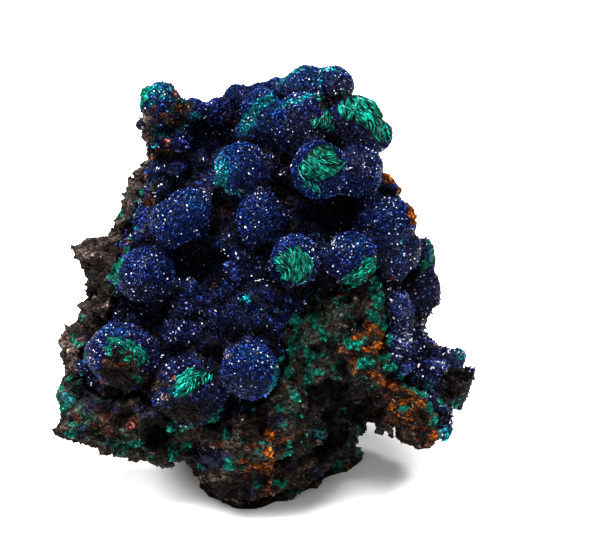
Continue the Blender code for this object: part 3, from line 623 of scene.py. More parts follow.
def merged(shapes):
    """Joins (points, triangles) pairs into one pair."""
    points, triangles, start = [], [], 0
    for some_points, some_triangles in shapes:
        points.append(some_points)
        triangles.append(some_triangles + start)
        start += len(some_points)
    return np.vstack(points), np.vstack(triangles)


def store_tints(piece, tints):
    """Keeps a colour at each of the piece's points, as the attribute tint."""
    colours = np.ones((len(tints), 4), np.float32)
    colours[:, :3] = tints
    layer = piece.data.color_attributes.new("tint", "FLOAT_COLOR", "POINT")
    layer.data.foreach_set("color", colours.ravel())


def read_points(piece):
    """The piece's points, as an array in metres."""
    points = np.empty(3 * len(piece.data.vertices), np.float32)
    piece.data.vertices.foreach_get("co", points)
    return points.reshape(-1, 3).astype(float)


def read_normals(piece):
    """The outward direction at each of the piece's points."""
    normals = np.empty(3 * len(piece.data.vertices), np.float32)
    piece.data.vertex_normals.foreach_get("vector", normals)
    return normals.reshape(-1, 3).astype(float)


def write_points(piece, points):
    """Moves the piece's points."""
    piece.data.vertices.foreach_set("co", points.astype(np.float32).ravel())
    piece.data.update()


def read_triangles(piece):
    """The piece's faces, as an array of triangles."""
    piece.data.calc_loop_triangles()
    triangles = np.empty(3 * len(piece.data.loop_triangles), np.int32)
    piece.data.loop_triangles.foreach_get("vertices", triangles)
    return triangles.reshape(-1, 3)


def tree_of(*pieces):
    """A search tree of the faces of one or more pieces."""
    points, triangles = merged([(read_points(piece), read_triangles(piece)) for piece in pieces])
    return BVHTree.FromPolygons(points.tolist(), triangles.tolist())


print("mesh helpers are ready")

# %% [markdown]
# ## From plain solid to fine piece
# A imported solid has large flat facets, which can't hold a fine surface. A voxel remesh gives its copy points
# at an even spacing, and a smoothing rounds the facets off. Each finished piece then hides the solids that it
# stands for, and hangs under the specimen's root, so that it moves with the specimen.

# %% Helpers for pieces
def apply_modifiers(piece):
    """Makes the piece's modifiers part of its mesh."""
    graph = bpy.context.evaluated_depsgraph_get()
    mesh = bpy.data.meshes.new_from_object(piece.evaluated_get(graph))
    piece.modifiers.clear()
    piece.data = mesh


def refine(piece, voxel, rounds):
    """Gives the mesh an even grain of voxel millimetres, and rounds off the solid's flat facets."""
    remesh = piece.modifiers.new("grain", "REMESH")
    remesh.mode = "VOXEL"
    remesh.voxel_size = voxel * MM
    soften = piece.modifiers.new("soften", "SMOOTH")
    soften.iterations = rounds
    apply_modifiers(piece)


def copy_solid(node, name):
    """A new object with a copy of a solid's mesh."""
    piece = bpy.data.objects.new(name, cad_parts[node].data.copy())
    piece.data.materials.clear()
    bpy.context.scene.collection.objects.link(piece)
    return piece


def show(piece, slot, *nodes):
    """Moves the piece with the specimen and hides the solids it stands for; slot is not used."""
    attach(piece, "root")
    if nodes:
        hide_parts(*nodes)
    print(piece.name, len(piece.data.polygons), "faces")


print("piece helpers are ready")

# %% [markdown]
# ## The rock's hollows and outline
# The plain solid leaves out the small hollows of the rock and the fine course of its outline. Each pit
# presses the surface in behind one place of the facing plane, and each shift pulls the surface around a
# place sideways. Both fade out softly, so they leave no step. The shifts move the azurite's outline too.

# %% Pits and shifts
# Each pit: where it shows (u, v), half its width and height, and its depth, all in millimetres.
PITS = [
    (-15.1, 11.0, 2.7, 2.8, 4.5), (7.0, 13.0, 3.2, 5.0, 1.5), (-20.5, 13.0, 2.0, 1.2, 1.2),
    (-24.6, 21.0, 1.2, 2.6, 1.0), (8.2, 29.5, 1.4, 1.6, 1.4), (12.5, 27.0, 1.0, 1.6, 1.2),
    (10.8, 21.0, 1.4, 1.6, 1.3), (5.2, 25.5, 0.9, 1.8, 1.0), (-9.5, 9.0, 1.6, 1.4, 1.4),
    (-2.0, 10.5, 1.2, 1.0, 1.0), (-24.0, 31.0, 1.4, 1.6, 1.2), (-22.0, 37.5, 1.2, 1.4, 1.0),
]
# Small shifts of the outline: a place (u, v), how far the shift reaches, and the shift (du, dv).
NUDGES = [
    (-24.6, 38.2, 2.0, -2.6, 0.2), (-24.8, 34.0, 2.2, -1.7, 0.0), (-25.2, 30.2, 1.4, -0.6, 0.0),
    (-21.8, 40.9, 1.5, -1.0, 0.6), (-27.8, 24.0, 2.4, -1.6, 0.0), (-27.9, 12.2, 2.7, -1.9, -1.1),
    (-28.2, 17.4, 1.5, -0.9, 0.0), (-18.0, 6.2, 2.8, 0.0, 1.9), (-12.6, 5.0, 2.0, 1.6, 1.0),
    (15.2, 10.2, 2.0, -2.2, 0.0), (17.8, 10.8, 1.3, 0.0, 0.9), (16.2, 13.2, 1.4, 0.0, -0.7),
    (19.9, 12.0, 2.4, 0.0, -1.6), (23.3, 10.4, 1.4, 0.0, -0.9), (26.6, 13.8, 1.5, 1.2, 0.0),
    (25.4, 26.0, 2.2, -1.1, -0.5), (20.8, 43.8, 2.2, 0.8, 0.0), (22.4, 40.4, 1.4, 0.9, 0.0),
    (24.6, 29.8, 1.2, 1.0, 0.0), (18.9, 48.6, 1.3, -1.0, 0.0), (24.4, 35.2, 1.4, 1.0, 0.0),
    (-15.6, 61.6, 2.4, 0.3, -0.3), (-17.0, 56.2, 2.0, -0.7, 0.0), (-17.6, 51.0, 1.8, 1.0, 0.0),
    (-20.9, 44.4, 1.6, 0.9, 0.0), (-8.6, 60.1, 1.4, 0.0, -0.9), (12.6, 6.2, 2.4, -1.2, 1.2),
]


def nudged(points):
    """The points with the small shifts of the outline."""
    places = to_face(points)
    uv = seen_square_on(places)
    for u, v, reach, du, dv in NUDGES:
        pull = np.exp(-((uv[:, 0] - u) ** 2 + (uv[:, 1] - v) ** 2) / reach ** 2)
        places[:, 0] += du * pull
        places[:, 1] += dv * pull
    return to_world(places)


def pressed_in(places, facing, pits):
    """How far each place of the front is pressed in by the pits, in millimetres."""
    uv = seen_square_on(places)
    depth = np.zeros(len(places))
    for u, v, half_u, half_v, deepest in pits:
        across = np.hypot((uv[:, 0] - u) / half_u, (uv[:, 1] - v) / half_v)
        across += 0.25 * noise(places, 1.2, 68)
        depth = np.maximum(depth, deepest * (1 - smooth_step(across, 0.35, 1.15)))
    return depth * smooth_step(facing, 0.05, 0.45) * (places[:, 2] > PATCH_FROM)


print("pits:", len(PITS), "shifts:", len(NUDGES))

# %% [markdown]
# ## The rock
# The rock is a porous iron oxide: broken ledges, pores and grains at every scale. The plain solid is
# remeshed to an even grain, then each point moves along its normal by several noises, from ledges of a few
# millimetres down to single grains. Its foot stays flat, so it stands as the solid does.

# %% Rock piece
ROCK_VOXEL = 0.45
ROCK_ROUNDS = 6
# The relief's parts: the size of each, and how high it stands out or how deep it goes.
LEDGE_SIZES = (4.6, 2.3)
LEDGE_HEIGHT = 1.3
GRAIN_SIZE, GRAIN_STEP, GRAIN_CROWN = 1.3, 0.8, 0.5
CRUMB_SIZE, CRUMB_STEP, CRUMB_CROWN = 0.7, 0.35, 0.3
PORE_SIZES = (2.4, 0.9)
PORE_DEPTH = 1.4
# The heights between which a point becomes free to move.
FOOT_FADE = (0.05, 0.8)


def stand_flat(points, moved):
    """Fades the movement out near the ground and keeps every point above it."""
    fade = smooth_step(points[:, 2] / MM, *FOOT_FADE)[:, None]
    settled = points + (moved - points) * fade
    settled[:, 2] = np.maximum(settled[:, 2], 0)
    return settled


def rock_relief(places):
    """How far the rock's surface stands out, in millimetres."""
    ledge = 1 - np.abs(noise(places, LEDGE_SIZES[0], 60)) - 0.6 * np.abs(noise(places, LEDGE_SIZES[1], 61))
    near, value = grains(places, GRAIN_SIZE, 70)
    fine, fine_value = grains(places, CRUMB_SIZE, 75)
    relief = LEDGE_HEIGHT * (ledge - 0.62) + GRAIN_STEP * (value - 0.5) + GRAIN_CROWN * (0.45 - near)
    relief += CRUMB_STEP * (fine_value - 0.5) + CRUMB_CROWN * (0.45 - fine)
    pores = noise(places, PORE_SIZES[0], 66) + 0.4 * noise(places, PORE_SIZES[1], 67)
    return relief - PORE_DEPTH * smooth_step(pores, 0.35, 0.75)


def make_rock():
    """The rock with its broken surface, and how high each of its points stands out."""
    rock = copy_solid("matrix", "rock")
    refine(rock, ROCK_VOXEL, ROCK_ROUNDS)
    points, normals = read_points(rock), read_normals(rock)
    places = to_face(points)
    relief = rock_relief(places)
    pressed = pressed_in(places, normals @ OUTWARD, PITS)
    moved = points + normals * relief[:, None] * MM - OUTWARD * pressed[:, None] * MM
    write_points(rock, stand_flat(points, nudged(moved)))
    return rock, relief - 0.5 * pressed


rock, rock_height = make_rock()
show(rock, "rock", "matrix")

# %% [markdown]
# ## Azurite balls and druse
# The balls are round aggregates that grew outwards from a point, and the druse between them is lumpier.
# Each ball is given by its middle (u, v, w) and its radius, as in the plain solid; only the knob sits a
# little lower. Smaller lumps lie under the knob and at the shoulder, and a seam of druse runs down beside
# the slope of bare rock.

# %% Places of the balls
BALLS = {
    "knob": (-14.8, 59.6, 8, 2.9),
    "bead_a": (-9.4, 59.2, 6, 1.5),
    "bead_b": (-6.7, 58.6, 6, 1.8),
    "bead_c": (-3.6, 60.2, 5, 2.0),
    "bead_d": (-0.1, 60.6, 5, 1.9),
    "bead_e": (2.2, 61.4, 5, 1.8),
    "crest": (6.6, 61.3, 6, 3.6),
    "crest_right": (10.4, 61.8, 6, 3.0),
    "north_west": (-0.1, 58.4, 10, 2.8),
    "north_west_low": (-0.4, 55.6, 10, 2.7),
    "north": (5.8, 56.3, 13, 4.2),
    "north_east": (13.6, 56.4, 11, 3.9),
    "north_east_tip": (16.4, 54.6, 9, 2.6),
    "chief": (8.3, 49.3, 17, 4.1),
    "chief_right": (14.0, 49.3, 12, 3.7),
    "west": (-2.9, 49.6, 14, 3.8),
    "far_west": (-10.6, 43.3, 12, 3.5),
    "far_west_low": (-13.0, 41.8, 12, 3.3),
    "middle": (-0.1, 42.6, 15, 3.6),
    "disc": (4.9, 36.5, 17, 3.6),
    "east": (12.9, 36.8, 15, 3.7),
    "shoulder": (17.6, 41.7, 10, 4.0),
    "shoulder_low": (19.6, 37.6, 8, 3.3),
    "south_west": (-17.0, 34.3, 11, 3.9),
    "corner_ball": (-20.4, 22.8, 11, 4.7),
    "south": (-1.7, 20.6, 17, 4.1),
    "shell": (-10.4, 17.4, 12, 4.9),
    "side_a": (22.8, 37.4, 2, 2.4),
    "side_b": (23.6, 32.2, 1, 2.6),
    "side_c": (28.6, 22.4, 1, 1.4),
}
# The crust's edge beside the rock slope, as a string of small balls along a route of (u, v, w).
SEAM = [(17.9, 34.4, 8.4), (18.5, 31.0, 9.9), (18.5, 28.0, 10.5), (18.6, 25.0, 10.2), (19.0, 22.6, 9.2),
        (19.8, 20.6, 7.6)]
SEAM_RADIUS = 1.0
SEAM_STEPS = 4
# Lumps of druse on the ledges under the knob and at the shoulder's edge, as (u, v, w, radius).
KNOLLS = [(-14.6, 54.9, 7.3, 1.9), (-12.3, 54.5, 7.0, 1.7), (-15.6, 52.4, 5.0, 1.3), (-12.9, 57.3, 8.4, 1.3),
          (-10.2, 56.8, 6.2, 1.4), (18.5, 46.0, 5.4, 1.2), (17.6, 47.5, 4.6, 0.9)]
# The corner ball is broken open in front, down to the brown rock that it grew on.
BROKEN = [(-20.3, 20.8, 3.1, 3.3, 1.4), (-15.8, 18.4, 2.2, 1.0, 0.6)]

print("balls:", len(BALLS), "lumps:", len(KNOLLS))

# %% [markdown]
# ## How rough the crust is
# A ball's crystals all grew outwards, so it is nearly round, with low waves. Between the balls the druse is
# lumpy, and a groove runs around each ball. One function gives the height of both kinds of surface from the
# distance to the nearest ball. It is used again for the crystals, which are painted darker in the deeper
# places, as painted shade.

# %% Relief of the crust
# Lumps of druse, small and broad: their size, how high each is rounded, and how much their heights differ.
SMALL_LUMPS = (1.6, 0.9, 0.5)
BROAD_LUMPS = (3.4, 1.6, 0.6)
ROUGH_SIZE, ROUGH_HEIGHT = 0.9, 0.35
BALL_WAVES = ((1.5, 0.12), (0.7, 0.10))
GROOVE_DEPTH = 0.9
DEEPEST_DRUSE = -1.1
# How much rougher the shell ball is than the others, and how far round it this reaches.
SHELL_ROUGHNESS = 0.55
SHELL_MARGIN = 0.9


def ball_distance(places):
    """The distance from each place to the nearest ball's surface, in millimetres."""
    nearest = np.full(len(places), FAR)
    for u, v, w, radius in BALLS.values():
        distance = np.linalg.norm(places - (u, v, w), axis=1) - radius
        nearest = np.minimum(nearest, np.abs(distance))
    return nearest


def close_to_ball(places, name, margin):
    """True for the places inside a ball that is larger by the margin."""
    u, v, w, radius = BALLS[name]
    return np.linalg.norm(places - (u, v, w), axis=1) < radius + margin


def on_ball(places):
    """How close each place is to a ball's surface, from 0 to 1, and less on the rough ball."""
    rough = close_to_ball(places, "shell", SHELL_MARGIN)
    return (1 - smooth_step(ball_distance(places), 0.6, 1.1)) * (1 - SHELL_ROUGHNESS * rough)


def beside_ball(places):
    """1 in the narrow groove around each ball."""
    nearest = ball_distance(places)
    return smooth_step(nearest, 0.6, 1.2) * (1 - smooth_step(nearest, 1.6, 3.2))


def druse_relief(places):
    """How far the azurite's surface stands out, in millimetres."""
    ball = on_ball(places)
    size, crown, step = SMALL_LUMPS
    near, value = grains(places, size, 80)
    lumps = crown * (0.55 - near) + step * (value - 0.5)
    size, crown, step = BROAD_LUMPS
    near, value = grains(places, size, 82)
    lumps = lumps + crown * (0.42 - near) + step * (value - 0.5)
    rough = ROUGH_HEIGHT * noise(places, ROUGH_SIZE, 84)
    wavy = sum(high * noise(places, size, 85 + i) for i, (size, high) in enumerate(BALL_WAVES))
    between = np.maximum(lumps + rough - GROOVE_DEPTH * beside_ball(places), DEEPEST_DRUSE)
    return (1 - ball) * between + ball * wavy


print("the crust's relief is ready")

# %% [markdown]
# ## The azurite crust
# The solid's balls are faceted, so true spheres are joined to it before the remesh, which melts everything
# into one skin. The relief then shapes the skin. The corner ball is pressed in where it is broken open, down
# to the brown rock that it grew on.

# %% Azurite body
AZURITE_VOXEL = 0.43
AZURITE_ROUNDS = 4
SPHERE_RINGS = 24


def sphere_mesh(centre, radius):
    """The points and triangles of a sphere."""
    count = 2 * SPHERE_RINGS
    tilt = np.linspace(0, math.pi, SPHERE_RINGS + 1)[1:-1]
    turn = np.arange(count) * 2 * math.pi / count
    ring = np.stack((np.cos(turn), np.sin(turn)), axis=1)
    rows = [np.column_stack((ring * math.sin(t), np.full(count, math.cos(t)))) for t in tilt]
    points = np.vstack([(0, 0, 1)] + rows + [(0, 0, -1)])
    last = len(points) - 1
    triangles = []
    for i in range(count):
        j = (i + 1) % count
        triangles.append((0, 1 + i, 1 + j))
        triangles.append((last, last - count + j, last - count + i))
        for row in range(SPHERE_RINGS - 2):
            a, b = 1 + row * count + i, 1 + row * count + j
            triangles += [(a, a + count, b + count), (a, b + count, b)]
    return centre + points * radius, np.array(triangles)


def make_azurite():
    """The azurite crust with its balls, and how high each of its points stands out."""
    solid = copy_solid("azurite", "azurite_solid")
    shapes = [(read_points(solid), read_triangles(solid))]
    bpy.data.objects.remove(solid)
    route = np.vstack([np.linspace(a, b, SEAM_STEPS) for a, b in zip(SEAM, SEAM[1:])])
    seam = [(*place, SEAM_RADIUS) for place in route]
    for u, v, w, radius in (*BALLS.values(), *seam, *KNOLLS):
        shapes.append(sphere_mesh(to_world((u, v, w)), radius * MM))
    azurite = put_mesh("azurite_druse", *merged(shapes))
    refine(azurite, AZURITE_VOXEL, AZURITE_ROUNDS)
    points, normals = read_points(azurite), read_normals(azurite)
    places = to_face(points)
    relief = druse_relief(places)
    pressed = pressed_in(places, normals @ OUTWARD, BROKEN)
    write_points(azurite, nudged(points + (normals * relief[:, None] - OUTWARD * pressed[:, None]) * MM))
    return azurite, relief


azurite, azurite_height = make_azurite()
show(azurite, "azurite", "azurite")

# %% [markdown]
# ## Scattering small things
# Crystals and chips stand on the surfaces just made. Random places on a mesh are spread evenly when a
# triangle is picked by its area, and a point inside it by two random shares. What faces another piece
# closely is hidden, so nothing is spent there.

# %% Scatter helpers
# How far in front of a surface its neighbours are looked for, and how far off the surface the look starts.
CLOSE = 1.2
START_GAP = 0.02
# Keeps a division from failing where a length is nothing.
TINY = 1e-12
WEDGE_POINTS = 6
WEDGE_FACES = ((0, 2, 1), (0, 3, 2), (0, 1, 5), (0, 5, 4), (2, 3, 4), (2, 4, 5), (1, 2, 5), (3, 0, 4))
# A blade's size range, the share of it that stands in the surface, how far its tip tapers and slants.
BLADE_RANGE = (0.6, 1.3)
BLADE_ROOT = 0.35
BLADE_TAPER = 0.6
BLADE_SLANT = 0.2


def scatter(piece, count, rng, weight=None):
    """Random points on a piece, spread evenly or by a weight at each of its points, and their normals."""
    points, triangles = read_points(piece), read_triangles(piece)
    a, b, c = (points[triangles[:, i]] for i in range(3))
    cross = np.cross(b - a, c - a)
    area = np.linalg.norm(cross, axis=1)
    share = area if weight is None else area * weight[triangles].mean(axis=1)
    chosen = rng.choice(len(triangles), count, p=share / share.sum())
    s, t = rng.random(count), rng.random(count)
    flip = s + t > 1
    s[flip], t[flip] = 1 - s[flip], 1 - t[flip]
    spots = a[chosen] + (b - a)[chosen] * s[:, None] + (c - a)[chosen] * t[:, None]
    return spots, cross[chosen] / area[chosen][:, None]


def open_to_air(spots, normals, tree):
    """True where nothing of a tree of faces lies close in front of the surface."""
    free = np.ones(len(spots), bool)
    for i, (spot, normal) in enumerate(zip(spots, normals)):
        start = Vector(spot + normal * START_GAP * MM)
        free[i] = tree.ray_cast(start, Vector(normal), CLOSE * MM)[0] is None
    return free


def unit(arrows):
    """Arrows of the same directions and a length of 1."""
    return arrows / (np.linalg.norm(arrows, axis=-1, keepdims=True) + TINY)


def any_side(normals, rng):
    """Two directions at right angles to each normal and to each other, turned at random."""
    other = rng.normal(size=normals.shape)
    first = unit(np.cross(normals, other))
    return first, np.cross(normals, first)


def blades(spots, normals, length, width, thick, lean, rng):
    """Chisel-tipped blades, one at each spot: points and triangles of closed wedges."""
    count = len(spots)
    axis = unit(normals + lean * rng.normal(size=normals.shape))
    side, front = any_side(axis, rng)
    size = (length * rng.uniform(*BLADE_RANGE, count) * MM)[:, None]
    side, front = side * size * width, front * size * thick
    foot = spots - axis * size * BLADE_ROOT
    tip = spots + axis * size * (1 - BLADE_ROOT)
    slant = axis * size * rng.uniform(-BLADE_SLANT, BLADE_SLANT, count)[:, None]
    corners = np.stack(
        (foot - side - front, foot + side - front, foot + side + front, foot - side + front,
         tip - side * BLADE_TAPER - slant, tip + side * BLADE_TAPER + slant), axis=1)
    return corners.reshape(-1, 3), repeated(WEDGE_FACES, count, WEDGE_POINTS)


rock_tree, azurite_tree, both_tree = tree_of(rock), tree_of(azurite), tree_of(rock, azurite)
print("search trees are ready")

# %% [markdown]
# ## Colours of the specimen
# Dark minerals need very small values. The red, green and blue of a material are the shares of that light
# which it gives back, and deep azurite gives back less than a twentieth, even of the blue. Each colour is a
# plain value with a name, so the pieces can share it.

# %% Colours
AZURE = np.array((0.0009, 0.0062, 0.048))
VIOLET = np.array((0.0034, 0.0040, 0.038))
LIT_BLUE = np.array((0.0008, 0.0200, 0.082))
MAUVE_GREY = np.array((0.0078, 0.0076, 0.0180))
LAVENDER_SHEEN = np.array((0.024, 0.055, 0.180))
TEAL_BLUE = np.array((0.0008, 0.076, 0.098))
GREEN = np.array((0.0008, 0.060, 0.042))
# The colour of a painted glint, where a crystal face mirrors a lamp.
GLINT = np.array((0.80, 0.84, 1.00))
UMBER = np.array((0.0042, 0.0032, 0.0028))
BROWN = np.array((0.0105, 0.0067, 0.0051))
GREY = np.array((0.0255, 0.0188, 0.0162))
PALE = np.array((0.105, 0.079, 0.067))
ORANGE = np.array((0.070, 0.0165, 0.0014))
RUSTY = np.array((0.034, 0.0095, 0.0055))
SAND = np.array((0.105, 0.072, 0.055))
INDIGO = np.array((0.0035, 0.0042, 0.0130))
LILAC_BLUE = np.array((0.0150, 0.0205, 0.0860))
MOSSY = np.array((0.0030, 0.0260, 0.0180))
PALE_GREEN_SHEEN = np.array((0.050, 0.280, 0.220))

print("azurite gives back", AZURE)

# %% [markdown]
# ## Colour in layers
# The colours lie over each other like films: first the body of the mineral, then each patch over it. Every
# small thing draws its own brightness around the colour of its mineral. On the crystals this is painted
# reflection, because neighbouring crystals mirror different parts of the room. Most are darker than the
# middle value and a few are much brighter, which is what a spread in powers gives.

# %% Layers of colour
# How dark and how bright a spread in powers may get.
TONE_LIMITS = (-2.2, 1.6)
CRYSTAL_LIMITS = (-2.2, 1.8)
# How far from the crust a film of azurite reaches over the rock.
CRUST_FILM = 4.0
# How strong each other blue is in its patches, and how bright a blue crystal may get.
BLUES = ((LIT_BLUE, "bright", 0.6), (MAUVE_GREY, "mauve", 0.6), (LILAC_BLUE, "lilac", 0.55))
BRIGHTEST = 2.6
BARE_BRIGHTNESS = 1.6
# Layers of colour, each over the ones before it: the colour, the mineral whose patches it takes, how strong
# it is there, and the share of grains that take it.
CRUST_LAYERS = ((TEAL_BLUE, "teal", 0.85, 1), (ORANGE, "ochre", 1, 1))
CRUST_SPOTS = ((RUSTY, "rust", 1, 0.6), (SAND, "tan", 1, 0.6), (GREEN, "malachite", 1, 1))
ROCK_LAYERS = (
    (MOSSY, "moss", 0.6, 0.7), (INDIGO, "azure", 0.9, 1), (AZURE, "crust", 1, 1), (RUSTY, "rust", 1, 0.7),
    (0.45 * SAND, "tan", 1, 1), (0.6 * ORANGE, "ochre", 0.9, 1), (TEAL_BLUE, "teal", 0.5, 1),
    (GREEN, "malachite", 1, 1),
)


def mixed(first, second, share):
    """A blend of two colours, with a share of the second at each point."""
    return first + (second - first) * np.asarray(share)[:, None]


def tones(count, spread, rng, limits=TONE_LIMITS):
    """A brightness around 1 for each of count things, as a column."""
    return np.exp(np.clip(spread * rng.normal(size=count), *limits))[:, None]


def varied(colour, count, spread, rng):
    """The colour with a brightness of its own for each of count things."""
    return colour[None] * tones(count, spread, rng)


def layered(tints, layers, found, spread, rng):
    """The tints with layers of colour over them, where found says that their minerals lie."""
    count = len(tints)
    for colour, mineral, strength, taken in layers:
        layer = varied(colour, count, spread, rng)
        share = strength * found[mineral]
        if taken < 1:
            share = share * (rng.random(count) < taken)
        tints = mixed(tints, layer, share)
    return tints


def azurite_tints(places, spread, rng):
    """The colour of azurite at these places."""
    count = len(places)
    tone = tones(count, spread, rng, CRYSTAL_LIMITS)
    violet = smooth_step(noise(places, 8, 90) + 0.3 * rng.normal(size=count), -0.1, 0.8)
    found = minerals(places)
    tints = mixed(np.tile(AZURE, (count, 1)), VIOLET, violet)
    for colour, mineral, strength in BLUES:
        tints = mixed(tints, colour, strength * found[mineral])
    tints = tints * np.minimum(tone, BRIGHTEST)
    # A painted sheen of lavender on the brightest crystals.
    tints += LAVENDER_SHEEN * 0.15 * np.maximum(tone - 1.4, 0)
    # Painted shade: darker off the balls, darker still in the groove around each, and in the shade patches.
    groove_shade = 0.8 + 0.2 * on_ball(places) - 0.35 * beside_ball(places)
    tints *= (groove_shade * (1 - 0.5 * found["shade"]))[:, None]
    tints = layered(tints, CRUST_LAYERS, found, spread, rng)
    # The bare rock in the shade patches gets painted shade too.
    bare = rock_tints(places, spread, rng, bare_rock=True) * (1 - 0.7 * found["shade"])[:, None]
    tints = mixed(tints, BARE_BRIGHTNESS * bare, found["bare"])
    return layered(tints, CRUST_SPOTS, found, spread, rng)


def near_crust(places):
    """1 on the rock close to the azurite crust, with a ragged border."""
    gap = [azurite_tree.find_nearest(Vector(spot), CRUST_FILM * MM)[3] for spot in to_world(places)]
    gap = np.array([CRUST_FILM if away is None else away / MM for away in gap])
    ragged = 0.7 * noise(places, 2.6, 105) + 0.4 * noise(places, 0.9, 106)
    return smooth_step(1 - gap / CRUST_FILM + ragged, 0.35, 0.55) * (gap < CRUST_FILM)


def rock_tints(places, spread, rng, bare_rock=False):
    """The colour of the rock at these places, with its patches unless it is bare_rock."""
    count = len(places)
    warmth = noise(places, 3.5, 95) + 0.5 * noise(places, 1.2, 96) + 0.5 * rng.normal(size=count)
    tone = smooth_step(warmth, -0.7, 1.0)
    found = minerals(places)
    tints = mixed(np.tile(UMBER, (count, 1)), BROWN, tone)
    tints = mixed(tints, GREY, found["grey"] * (0.25 + 0.5 * tone)) * tones(count, spread, rng)
    if bare_rock:
        return tints
    # Painted shade in the patches of shaded rock.
    tints *= 1 - 0.75 * found["dark"][:, None]
    moss = noise(places, 1.5, 102) + 0.6 * noise(places, 0.6, 103)
    found["moss"] = found["moss"] * smooth_step(moss, -0.15, 0.35)
    found["crust"] = behind(places) * near_crust(places)
    return layered(tints, ROCK_LAYERS, found, spread, rng)


print("layers on the rock:", len(ROCK_LAYERS))

# %% [markdown]
# ## Openness
# Deep places are painted darker than their mineral is, as painted shade, because little light finds its way
# in and out again. How open a place is gets measured with a few rays: the share of them that leaves without
# meeting the specimen.

# %% Openness
# How many rays leave each place, how far they reach, how far off the surface they start and how widely they
# spread.
RAYS = 6
RAY_REACH = 6.0
RAY_START = 0.25
RAY_SPREAD = 0.9
# How much brightness differs from point to point of a body.
BODY_SPREAD = {"rock": 0.35, "azurite": 0.3}
# The azurite under the crystals is painted darker than they are, as shade between them.
SHADE_UNDER_CRYSTALS = 0.22


def openness(spots, normals, rng):
    """The share of rays that get away from each place, from 0 to 1."""
    free = np.zeros(len(spots))
    starts = (spots + normals * RAY_START * MM).tolist()
    for _ in range(RAYS):
        ways = normals + RAY_SPREAD * rng.normal(size=normals.shape)
        ways = unit(ways - normals * np.minimum((ways * normals).sum(axis=1), 0)[:, None] * 2)
        for i, (start, way) in enumerate(zip(starts, ways.tolist())):
            if both_tree.ray_cast(start, way, RAY_REACH * MM)[0] is None:
                free[i] += 1
    return free / RAYS


def with_painted_shade(tints, height, open_share):
    """Painted shade: darkens what lies deep or shut in and turns it brown, and lightens what stands out."""
    tints = mixed(tints, 3.2 * UMBER, 0.8 * (1 - open_share) ** 1.6)
    shade = np.exp(np.clip(height, -1.6, 0.8)) * (0.42 + 0.58 * open_share)
    return tints * shade[:, None]


def colour_body(piece, tints, height, rng):
    """Stores the tints of a body, with painted shade by how open each point is."""
    open_share = openness(read_points(piece), read_normals(piece), rng)
    store_tints(piece, with_painted_shade(tints, height, open_share))
    print(piece.name, "is open by", open_share.mean().round(2), "on average")


body_rng = np.random.default_rng(201)
rock_body = rock_tints(to_face(read_points(rock)), BODY_SPREAD["rock"], body_rng)
colour_body(rock, rock_body, rock_height, body_rng)
azurite_body = azurite_tints(to_face(read_points(azurite)), BODY_SPREAD["azurite"], body_rng)
colour_body(azurite, SHADE_UNDER_CRYSTALS * azurite_body, azurite_height, body_rng)

# %% [markdown]
# ## Outlines of the green tufts
# Six of the balls carry a tuft of malachite. Each sheaf of its fibres has an outline in the face's
# directions (u, v), and a centre that the fibres turn around. The outlines are needed twice: no azurite
# crystal grows under a tuft, and the fibres stay inside their outline.

# %% Tuft outlines
# Each sheaf: the centre that its fibres turn around, their angle to the line from it, and an outline.
SHEAVES = {
    "chief": [
        ((10.5, 54.5), 90, [(7.0, 52.8), (7.8, 53.5), (9.0, 53.7), (10.1, 53.4), (10.9, 52.6), (11.6, 51.2),
                            (12.1, 49.9), (11.4, 49.2), (10.7, 49.3), (10.0, 48.6), (9.0, 48.2), (7.8, 48.0),
                            (6.8, 48.0), (5.9, 48.6), (5.3, 49.6), (5.4, 50.8), (6.1, 51.9)]),
        ((4.1, 51.5), 3, [(5.9, 48.9), (7.2, 48.1), (8.4, 47.2), (8.9, 46.0), (8.3, 46.0), (7.4, 46.6),
                          (6.5, 47.3)]),
    ],
    "disc": [
        ((2.4, 34.2), 78, [(1.7, 36.4), (1.5, 35.1), (2.1, 33.9), (2.6, 32.8), (3.2, 33.1), (4.8, 33.0),
                           (5.9, 33.3), (6.8, 34.0), (7.3, 35.1), (7.4, 36.1), (6.9, 37.0), (6.0, 37.6),
                           (5.4, 38.8), (4.9, 38.4), (4.2, 38.2), (3.5, 37.9), (2.7, 37.5), (2.1, 37.0)]),
    ],
    "north_east": [
        ((12.0, 54.0), 8, [(10.5, 59.2), (10.8, 60.4), (12.4, 61.2), (14.2, 61.3), (14.8, 59.6),
                           (14.2, 56.4), (13.0, 56.7), (11.9, 56.6), (11.2, 57.1), (10.7, 58.2)]),
        ((11.0, 52.6), 78, [(13.4, 61.3), (15.6, 61.0), (17.2, 60.0), (18.3, 58.6), (19.4, 57.0),
                            (20.2, 54.8), (19.0, 53.6), (17.8, 53.4), (16.6, 53.6), (16.1, 54.6),
                            (14.9, 55.7), (13.6, 56.4), (13.2, 58.6)]),
    ],
    "north": [
        ((5.5, 55.9), 70, [(7.0, 56.8), (7.8, 57.1), (8.7, 57.2), (9.0, 58.0), (8.4, 59.1), (7.5, 59.9),
                           (6.8, 60.1), (7.5, 60.6), (8.7, 60.2), (9.6, 59.0), (10.2, 57.7), (10.4, 56.2),
                           (10.2, 54.9), (9.0, 55.0), (8.1, 55.3), (7.2, 55.6), (6.7, 56.2)]),
    ],
    "east": [
        ((7.0, 28.0), 0, [(15.3, 37.0), (16.6, 36.8), (17.0, 35.6), (16.2, 34.2), (15.2, 33.5), (14.2, 32.9),
                          (13.1, 31.9), (11.9, 31.4), (11.0, 31.6), (10.8, 32.5), (11.6, 33.3), (12.6, 33.9),
                          (13.6, 34.6), (14.3, 35.9)]),
    ],
    "shell": [
        ((-6.2, 22.4), 12, [(-12.8, 17.9), (-12.8, 18.8), (-12.2, 19.6), (-11.2, 20.3), (-10.4, 21.1),
                           (-9.1, 20.8), (-8.1, 20.8), (-7.0, 20.5), (-7.1, 19.4), (-8.0, 18.8),
                           (-9.0, 18.3), (-9.7, 17.5), (-10.4, 17.1), (-11.5, 17.2)]),
    ],
}
